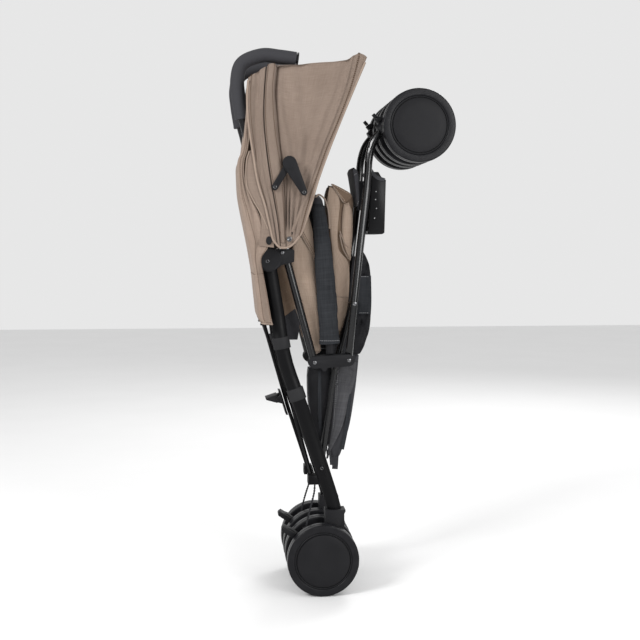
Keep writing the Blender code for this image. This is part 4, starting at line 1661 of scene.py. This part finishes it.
@dataclass
class LegRest:
    """Folded leg rest of the seat, with its pointed top, side pocket and elastic hem."""

    frame: Frame
    left: Line = ((21, 838), (14, 812), (18, 770), (24, 700), (29, 640), (31, 590), (32, 560),
                              (36, 520))
    right: Line = ((30, 834), (68, 815), (70, 770), (65, 700), (62, 640), (59, 590), (52, 555),
                               (39, 520))

    def relief(self, share: float, height: float) -> float:
        """Return how far the cloth lies in at a place on its side, in metres.

        Args:
            share: Share of the way, from 0 to 1.
            height: Share of the way up or down.

        Returns:
            The depth in metres.
        """
        groove = 0.0060 * hump(share, 0.47 - 0.05 * height, 0.05) * hump(height, 0.28, 0.16)
        flat = 0.0025 * hermite((share - 0.45) / 0.2) * hump(height, 0.22, 0.2)
        cross = 0.0030 * hump(share - 1.1 * (height - 0.38), 0.40, 0.05) * hump(height, 0.47, 0.08)
        band = 0.0016 * (hump(height, 0.735, 0.006) + hump(height, 0.765, 0.006))
        return groove + flat + cross + band + 0.0005 * noise.noise(Vector((share * 4.0, height * 9.0, 7.0)))

    def build(self) -> None:
        """Model the leg rest, its panels, pockets and backing, its bindings and its stitching."""
        form = Loft(self.frame, self.left, self.right, half_y=30.0, square=0.30, relief=self.relief, ends=0.03)
        # The leg rest's body, seen in its grooves and at its top, is darkened tan: painted shade.
        rest = form.model("leg_rest_cloth", Look.TAN_SHADE)
        parts = [rest]
        rows = [form.row((0.03, height), (0.97, height), sign) for height in (0.735, 0.772) for sign in (-1, 1)]
        for side, sign in SIDES:
            parts += panels(self.frame, side, sign, (
                # The front and pocket panels use the paler tan: painted light.
                ("leg_rest_front", ((20, 832), (16, 800), (21, 750), (27, 690), (30, 630), (33, 575), (37, 535)),
                 ((34, 829), (41, 800), (37, 750), (39, 705), (60, 672), (58, 590), (43, 537)),
                 30.6, Look.LIT_SEAT_TAN, 2.2),
                ("leg_rest_pocket", ((50, 797), (47, 775), (46, 745), (49, 715), (62, 682)),
                 ((60, 801), (67, 780), (68, 745), (66, 715), (64, 682)), 30.4, Look.LIT_SEAT_TAN, 4.0),
                # The top panel is darkened tan: painted shade.
                ("leg_rest_top", ((24, 839), (34, 822), (46, 805), (50, 799)),
                 ((30, 837), (48, 828), (62, 820), (67, 812)), 31.6, Look.TAN_SHADE, 1.0),
                ("leg_rest_backing_low", ((72, 690), (68, 650), (64, 596)), ((84, 690), (80, 650), (76, 596)),
                 8.0, Look.BLACK, 0.4),
                ("leg_rest_backing_high", ((84, 846), (84, 810), (80, 786)), ((98, 846), (95, 810), (91, 786)),
                 8.0, Look.BLACK, 0.4)))
            parts += edges(self.frame, side, sign, [
                (f"leg_rest_edge_{number}", line, y, 0.0014, Look.TAN_BINDING) for number, (line, y) in enumerate((
                    (((41, 742), (50, 720), (60, 706)), 34.6), (((41, 735), (48, 705), (60, 684)), 34.6),
                    (((24, 838), (36, 820), (50, 799)), 33.0), (((35, 607), (48, 606), (61, 605)), 33.0),
                    (((36, 597), (48, 596), (60, 595)), 32.0)))])
            for line, y in ((((50, 801), (58, 796), (64, 788)), 34.2), (((28, 836), (46, 826), (64, 817)), 33.2),
                            (((30, 832), (42, 816), (54, 801)), 33.2)):
                rows.append(self.frame.line(line, sign * y))
        parts.append(Bench.stitches("leg_rest_stitching", rows, Look.PALE_THREAD))
        for piece in parts:
            Dress.ride(piece, "front_frame", "cover_cloth")
        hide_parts("leg_rest")


@dataclass
class Basket:
    """Black shopping basket folded between the rails, with its net, its pouch and two tie straps."""

    frame: Frame
    body: str = "side_rails"
    net_front: Line = ((31, 462), (31, 430), (29, 380), (26, 340), (20, 300))

    def bag_relief(self, share: float, height: float) -> float:
        """Return how far the lower bag's cloth lies in at a place on its side, in metres."""
        deep = 0.004 * hump(share - 0.5 * height, 0.15, 0.07) + 0.003 * hump(share + 0.3 * height, 0.8, 0.06)
        return deep + 0.0012 * noise.noise(Vector((share * 4.0, height * 7.0, 4.0)))

    def pouch_relief(self, share: float, height: float) -> float:
        """Return how far the upper pouch's cloth lies in at a place on its side, in metres.

        Args:
            share: Share of the way, from 0 to 1.
            height: Share of the way up or down.

        Returns:
            The depth in metres.
        """
        deep = 0.007 * hump(height + 0.25 * share, 0.38, 0.035) + 0.006 * hump(height - 0.2 * share, 0.62, 0.03)
        deep += 0.0070 * hump(height + 0.4 * share, 0.85, 0.04) + 0.005 * hump(height - 0.3 * share, 0.48, 0.03)
        return deep + 0.0030 * noise.noise(Vector((share * 5.0, height * 9.0, 9.0)))

    def build(self) -> None:
        """Model the bag, the pouch, the net with its lining, the side panels, the straps and the piping."""
        bag = Loft(self.frame, ((44, 492), (12, 470), (5, 440), (6, 400), (13, 330), (27, 262)),
                   ((84, 486), (83, 470), (80, 440), (75, 400), (63, 330), (40, 262)),
                   half_y=27.0, square=0.35, relief=self.bag_relief)
        pouch = Loft(self.frame, ((82, 706), (80, 670), (79, 630), (76, 590), (66, 545), (58, 505), (62, 484)),
                     ((88, 706), (104, 676), (109, 630), (109, 590), (107, 545), (97, 508), (84, 482)),
                     half_y=28.0, square=0.35, relief=self.pouch_relief)
        lower = bag.model("basket_bag", Look.BLACK)
        upper = pouch.model("basket_pouch", Look.POUCH)
        parts, folding, rows, band_rows = [lower], [upper], [], []
        for side, sign in SIDES:
            parts += panels(self.frame, side, sign, (
                ("basket_side", ((34, 478), (34, 450), (31, 400), (26, 340), (18, 290), (14, 268)),
                 ((77, 470), (75, 440), (64, 400), (47, 335), (25, 290), (17, 268)), 28.6, Look.PANEL, 2.2),
                ("basket_net", ((-20, 455), (-22, 430), (-20, 380), (-12, 340), (4, 296)), self.net_front,
                 30.8, Look.NET, 0.8, 0.0006),
                ("basket_hanger", ((60, 578), (54, 546), (43, 512), (24, 502), (20, 478)),
                 ((67, 578), (66, 546), (65, 512), (62, 492), (60, 478)), 26.0, Look.BLACK, 0.6),
                ("basket_strap_long", ((30, 330), (29, 290), (27, 244)), ((44, 330), (42, 290), (39, 243)),
                 20.0, Look.BLACK, 0.3, 0.0016),
                ("basket_strap_short", ((60, 404), (53, 340), (43, 288)), ((67, 404), (61, 340), (51, 286)),
                 29.4, Look.CHARCOAL, 0.3, 0.0016),
                ("basket_lining", ((-18, 453), (-20, 430), (-18, 380), (-10, 340), (6, 298)), self.net_front,
                 22.0, Look.BLACK, 0.8),
                ("basket_webbing", ((-3, 455), (-4, 420), (-4, 370), (-1, 330), (6, 292)),
                 ((3, 455), (3, 420), (3, 370), (6, 330), (13, 292)), 32.4, Look.CHARCOAL, 0.5, 0.0014)))
            folding += panels(self.frame, side, sign, (
                ("basket_pouch_band", ((80, 650), (80, 600), (78, 570)), ((107, 650), (108, 600), (107, 570)),
                 29.2, Look.CHARCOAL, 1.2),))
            parts += edges(self.frame, side, sign, (
                ("basket_crease_0", ((40, 462), (56, 462), (72, 452)), 30.2, 0.0014, Look.PANEL),
                ("basket_crease_1", ((38, 446), (54, 448), (70, 440)), 30.2, 0.0014, Look.PANEL),
                ("basket_crease_2", ((36, 424), (51, 424), (66, 414)), 30.2, 0.0014, Look.PANEL),
                ("basket_piping", ((31, 478), (32, 450), (30, 400), (26, 340), (21, 292), (23, 256)),
                 29.6, 0.0015, Look.BLACK)))
            for shift in (2.0, 5.0):
                rows.append(self.frame.line([(x + shift, z) for x, z in
                                             ((32, 474), (33, 450), (31, 400), (27, 340), (23, 300))], sign * 30.4))
            for height in (648, 573):
                band_rows.append(self.frame.line(((82, height), (94, height), (105, height)), sign * 30.9))
        parts.append(Bench.stitches("basket_stitching", rows, Look.GREY_THREAD))
        folding.append(Bench.stitches("basket_pouch_stitching", band_rows, Look.GREY_THREAD))
        for piece in parts + folding:
            Dress.ride(piece, self.body, "black_cloth")
        for piece in folding:
            tuple(self.frame.spot(75, 486))
            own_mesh(piece)
        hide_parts("basket")


@dataclass
class BumperBar:
    """Padded bar over the seat: a charcoal cover on each arm, the bare bend and the end plugs."""

    frame: Frame
    y: float = 63.0
    hem: tuple[float, float, float] = (519.0, 20.8, 11.8)
    arm: Line = ((17, 512), (15.5, 540), (13.5, 570), (11, 610), (7, 660), (3, 710), (-1, 750),
                             (-5, 780), (-7, 796))

    def cover_half(self, share: float) -> Pair:
        """Return the cover's half widths at a share from its hem to its top.

        Args:
            share: Share of the way, from 0 to 1.

        Returns:
            The two half widths in metres.
        """
        wide = 0.0205 - 0.0012 * math.sin(share * 9.0) * (1.0 - share)
        wide -= 0.0075 * hermite((share - 0.25) / 0.75)
        rim = 0.0003 * hump(share, 0.0, 0.02)
        seam = 0.0012 * hump(share, 0.395, 0.010)
        wrinkle = 0.00035 * math.sin(share * 70.0)
        close_top = 1.0 - 0.35 * hump(share, 1.0, 0.03)
        return ((wide + rim - seam + wrinkle) * close_top, (0.0112 + rim - seam) * close_top)

    def build(self) -> None:
        """Model the bar, its covers, its plugs and the covers' stitching."""
        half = ((-1, -63, 750), (-5, -63, 780), (-7, -53, 798), (-8, -28, 806))
        bend = [self.frame.spot(x, z, y) for x, y, z in
                (*half, (-8, 0, 808), *((x, -y, z) for x, y, z in half[::-1]))]
        bar = Bench.tube("bumper_bar_bend", Bench.smooth_line(bend, 10), lambda share: (0.0112, 0.0100), sides=24)
        parts = [Dress.put(bar, Look.GRIP, SOFT_ANGLE)]
        rows = []
        for side, sign in SIDES:
            line = Bench.smooth_line(self.frame.line(self.arm, sign * self.y), 12)
            cover = Bench.tube(f"bumper_cover_{side}", line, self.cover_half, sides=40)
            for vertex in cover.data.vertices:
                offset = noise.noise(vertex.co * 28.0) * 0.0009 + noise.noise(vertex.co * 70.0) * 0.0004
                vertex.co.x += offset
                vertex.co.y += offset * sign * 0.7
            Dress.put(cover, Look.CHARCOAL, SOFT_ANGLE)
            plug = Bench.tube(f"bumper_plug_{side}", Bench.smooth_line(self.frame.line(
                ((19, 491), (18.6, 503), (18, 524)), sign * self.y), 4), lambda share: (0.0092, 0.0066), sides=28)
            Bench.round_edges(plug, width=0.0012, segments=3, angle=50.0)
            Dress.put(plug, Look.PLASTIC, 50.0)
            parts += [cover, plug]
            height, wide, deep = self.hem
            turns = [math.pi * i / 8 for i in range(9)]
            rows.append(Bench.smooth_line([self.frame.spot(
                17 - wide * math.cos(turn), height, sign * (self.y + deep * math.sin(turn))) for turn in turns], 4))
        parts.append(Bench.stitches("bumper_stitching", rows, Look.GREY_THREAD))
        for piece in parts:
            Dress.ride(piece, "upper_frame", "black_cloth")
        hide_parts("bumper_bar")


@dataclass
class Trim:
    """Calf strap, footrest dots, brake cables, screw heads, hub buttons, caps and the canopy's second layer."""

    frame: Frame
    cable_pitch: float = 0.0008
    cable_lay: float = 0.011
    strand: float = 0.00115

    def calf_strap(self) -> None:
        """Model the sling that stands behind the footrest between the front legs."""
        sling = Loft(self.frame, ((65, 868), (68, 850), (72, 825), (75, 800), (76, 792)),
                     ((67, 874), (78, 862), (80, 840), (81, 812), (79, 792)),
                     half_y=46.0, square=0.25, ends=0.06)
        strap = sling.model("calf_sling", Look.BLACK)
        Dress.ride(strap, "front_frame", "black_cloth", "calf_strap")
        rows = [sling.row((0.1, start), (0.9, end), sign)
                for start, end in ((0.2, 0.25), (0.85, 0.8)) for sign in (-1, 1)]
        Dress.ride(Bench.stitches("calf_sling_stitching", rows, Look.GREY_THREAD), "front_frame", "black_cloth")

    def gussets(self) -> None:
        """Add the canopy's second layer behind its rear edge, and a dark brown panel in the slit beside it as painted
        shade.
        """
        for side, sign in SIDES:
            parts = panels(self.frame, side, sign, (
                ("canopy_rear_layer",
                 ((-146, 898), (-152, 876), (-152, 834), (-141, 806), (-125, 772), (-123, 742), (-129, 712)),
                 ((-132, 905), (-124, 876), (-119, 834), (-112, 806), (-103, 772), (-99, 742), (-98, 708)),
                 98.0, Look.TAN, 1.6),
                # Dark brown panel in the slit: painted shade.
                ("canopy_slit_shade",
                 ((-147, 990), (-149, 937), (-158, 890), (-160, 834), (-148, 800), (-126, 765), (-118, 738)),
                 ((-138, 990), (-134, 937), (-128, 890), (-122, 834), (-114, 800), (-104, 765), (-100, 738)),
                 91.0, Look.SLIT_SHADE, 0.5)))
            parts += edges(self.frame, side, sign, (
                ("canopy_rear_layer_edge", ((-146, 898), (-152, 876), (-152, 834), (-141, 806), (-122, 772),
                                            (-108, 742)), 99.9, 0.0013, Look.TAN_BINDING),))
            for piece in parts:
                Dress.ride(piece, "upper_frame", "cover_cloth")

    def heads(self, name: str, head: Piece, places: Sequence[tuple], look: Look, body: str, slot: str) -> None:
        """Copy a head to the x, z and y of each place on both sides, join the copies and dress them.

        Args:
            name: The piece's name.
            head: The model to copy.
            places: The x, z and y of each, in millimetres.
            look: The finish.
            body: The body that carries them.
            slot: The record's material slot.
        """
        copies = [Bench.copy(head, f"{name}_{i}_{sign}", self.frame.spot(x, z, sign * y))
                  for sign in (-1, 1) for i, (x, z, y) in enumerate(places)]
        group = Bench.joined(name, copies)
        Dress.ride(Dress.put(group, look, HARD_ANGLE), body, slot)

    def footrest_dots(self) -> None:
        """Add the small rivets down each side of the footrest, and its webbing strap."""
        head = Bench.cylinder("rivet", Vector(), radius=0.0011, width=0.0010, sides=12)
        Bench.round_edges(head, width=0.0004)
        places = ((113, 822, 54.8), (112, 806, 54.8), (114, 788, 54.8), (110, 768, 54.8))
        self.heads("footrest_rivets", head, places, Look.STEEL, "front_frame", "moulding")
        bpy.data.objects.remove(head)
        for side, sign in SIDES:
            for web in panels(self.frame, side, sign, (
                    ("footrest_webbing", ((100, 862), (112, 848), (128, 843)), ((104, 868), (116, 854), (132, 849)),
                     55.4, Look.BLACK, 0.2, 0.0014),)):
                Dress.ride(web, "front_frame", "black_cloth")

    def cables(self) -> None:
        """Model the two twisted brake cables along their whole route."""
        for side, sign in SIDES:
            knots = [self.frame.spot(x, z, sign * y) for x, z, y in
                     ((-31, 132, 63), (-30, 140, 63), (-26, 158, 62), (-20, 180, 59), (-14, 202, 53),
                      (-12, 220, 50))]
            line = Bench.even_line(Bench.smooth_line(knots, 20), self.cable_pitch)
            length = sum((b - a).length for a, b in zip(line, line[1:]))
            strands = []
            for number, phase in enumerate((0.0, math.pi)):
                path = []
                for i, point in enumerate(line):
                    turn = i * self.cable_pitch * math.tau / self.cable_lay + phase
                    fade = min(1.0, i / 8, (len(line) - 1 - i) / 8)
                    path.append(point + Vector((math.cos(turn), math.sin(turn), 0.0)) * 0.0011 * fade)
                strands.append(Dress.put(Bench.tube(f"strand_{side}_{number}", path,
                                                    lambda share: (self.strand, self.strand), sides=8), Look.CABLE,
                                          SOFT_ANGLE))
            cable = Bench.joined(f"brake_cable_{side}_twisted", strands)
            tuple(knots[0])
            [tuple(p) for p in line]
            Dress.ride(cable, "rear_frame", "moulding", f"brake_cable_{side}")

    def screws(self) -> None:
        """Add a domed screw head with a round recess at each visible fastener."""
        head = Bench.cylinder("screw", Vector(), radius=0.0033, width=0.0022, sides=28)
        Bench.recess(head, ((0.0010, 0.0), (0.0002, -0.0009)), edge=0.0005)
        for body, places in (
                ("upper_frame", ((-110, 681, 79.8), (-80, 698, 79.6), (-14.8, 475, 77.6), (55.5, 479, 77.6))),
                ("rear_frame", ((0, 257, 74.2),)), ("front_frame", ((67, 594, 73.2),)),
                ("strut_rear_arms", ((-96.5, 827, 111.4),)), ("strut_front_arms", ((-39.4, 817, 118.2),))):
            self.heads(f"{body}_screws", head, places, Look.BLACK_SCREW, body, "steel")
        bpy.data.objects.remove(head)

    def hub_buttons(self) -> None:
        """Add the rounded release button that stands out of each hub through the cloth."""
        for side, sign in SIDES:
            button = Bench.cylinder(f"hub_button_{side}", self.frame.spot(-108, 722, sign * 90.0),
                                    radius=0.0062, width=0.0230, sides=40)
            Bench.edit(button)
            bpy.ops.transform.resize(value=(0.95, 1.0, 1.35))
            bpy.ops.object.mode_set(mode="OBJECT")
            Bench.round_edges(button, width=0.0012)
            Dress.ride(Dress.put(button, Look.PLASTIC, HARD_ANGLE), "upper_frame", "moulding")

    def caps(self) -> None:
        """Add the raised round caps of the folding hubs and of the strut knuckles."""
        for part, body, radius, (x, z, y) in (("hub", "upper_frame", 0.0228, (-105, 684, 79.9)),
                                              ("knuckle", "strut_front_arms", 0.0128, (-68, 874, 118.1))):
            for side, sign in SIDES:
                cap = Bench.cylinder(f"{part}_cap_{side}", self.frame.spot(x, z, sign * y), radius,
                                     width=0.0026, sides=64)
                Bench.recess(cap, ((radius * 0.12, 0.0), (0.0004, -0.0005)), edge=0.0007)
                Dress.ride(Dress.put(cap, Look.PLASTIC, HARD_ANGLE), body, "moulding")

    def build(self) -> None:
        """Add every small piece."""
        self.calf_strap()
        self.footrest_dots()
        self.cables()
        self.screws()
        self.caps()
        self.hub_buttons()
        self.gussets()


@dataclass(frozen=True)
class Studio:
    """Pale floor, soft lights and the camera at the photograph's angle."""

    frame: Frame
    camera_x: float = -215.0
    camera_z: float = 710.5
    distance: float = 2198.0
    focal: float = 1055.0
    image: float = 640.0
    yaw: float = math.radians(5.68)
    pitch: float = math.radians(3.99)
    sensor: float = 36.0
    floor_side: float = 14.0
    floor_height: float = -0.0002
    sky: float = 0.80

    def camera(self) -> None:
        """Set the camera as far away and as high as the photograph's was."""
        data = bpy.data.cameras.new("camera")
        data.sensor_width = self.sensor
        data.lens = self.focal / self.image * data.sensor_width
        data.clip_start = 0.05
        eye = bpy.data.objects.new("camera", data)
        eye.location = self.frame.spot(self.camera_x, self.camera_z, -self.distance)
        eye.rotation_euler = (math.pi / 2 - self.pitch, 0.0, -self.yaw)
        bpy.context.collection.objects.link(eye)
        bpy.context.scene.camera = eye

    def light(self, name: str, place: Vector, aim: Vector, size: float, power: float) -> None:
        """Hang a square soft light.

        Args:
            name: The light's name.
            place: Where it hangs.
            aim: What it points at.
            size: Metres along its side.
            power: Watts.
        """
        data = bpy.data.lights.new(name, "AREA")
        data.size = size
        data.energy = power
        lamp = bpy.data.objects.new(name, data)
        lamp.location = place
        lamp.rotation_euler = (aim - place).to_track_quat("-Z", "Y").to_euler()
        bpy.context.collection.objects.link(lamp)

    def build(self) -> None:
        """Set up the floor, the surroundings, the lights and the camera."""
        Bench.clear()
        bpy.ops.mesh.primitive_plane_add(size=self.floor_side, location=(0.0, 0.0, self.floor_height))
        floor = Bench.name(bpy.context.object, "floor")
        recipe = Recipe("pale_floor")
        recipe.feed("Base Color", recipe.mix(recipe.cloud(3.0), (0.76, 0.76, 0.76), (0.80, 0.80, 0.80)))
        recipe.feed("Roughness", 0.7)
        floor.data.materials.append(recipe.material)
        world = bpy.data.worlds.new("studio")
        world.use_nodes = True
        background = world.node_tree.nodes["Background"].inputs
        background["Color"].default_value = (1.0, 1.0, 1.0, 1.0)
        background["Strength"].default_value = self.sky
        bpy.context.scene.world = world
        aim = Vector((0.0, 0.0, 0.6))
        for name, place, size, power in (("key", (-2.2, -1.9, 2.2), 0.9, 70.0), ("fill", (1.5, -2.8, 1.3), 1.2, 44.0),
                                         ("rim", (1.2, 2.2, 2.2), 1.2, 34.0)):
            self.light(name, Vector(place), aim, size, power)
        bpy.context.scene.view_settings.view_transform = "Standard"
        self.camera()


def main() -> None:
    """Dress the stroller, piece by piece."""
    logging.basicConfig(level=logging.INFO, format="%(message)s")
    frame = Frame()
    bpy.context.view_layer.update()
    Studio(frame).build()
    Castings(frame).build()
    Wheel(frame).build()
    for side, sign in SIDES:
        Grip(frame, side, sign).build()
    Canopy(frame).build()
    Curtain(frame).build()
    SeatCloth(frame).build()
    LegRest(frame).build()
    Basket(frame).build()
    BumperBar(frame).build()
    Trim(frame).build()


if __name__ == "__main__":
    main()
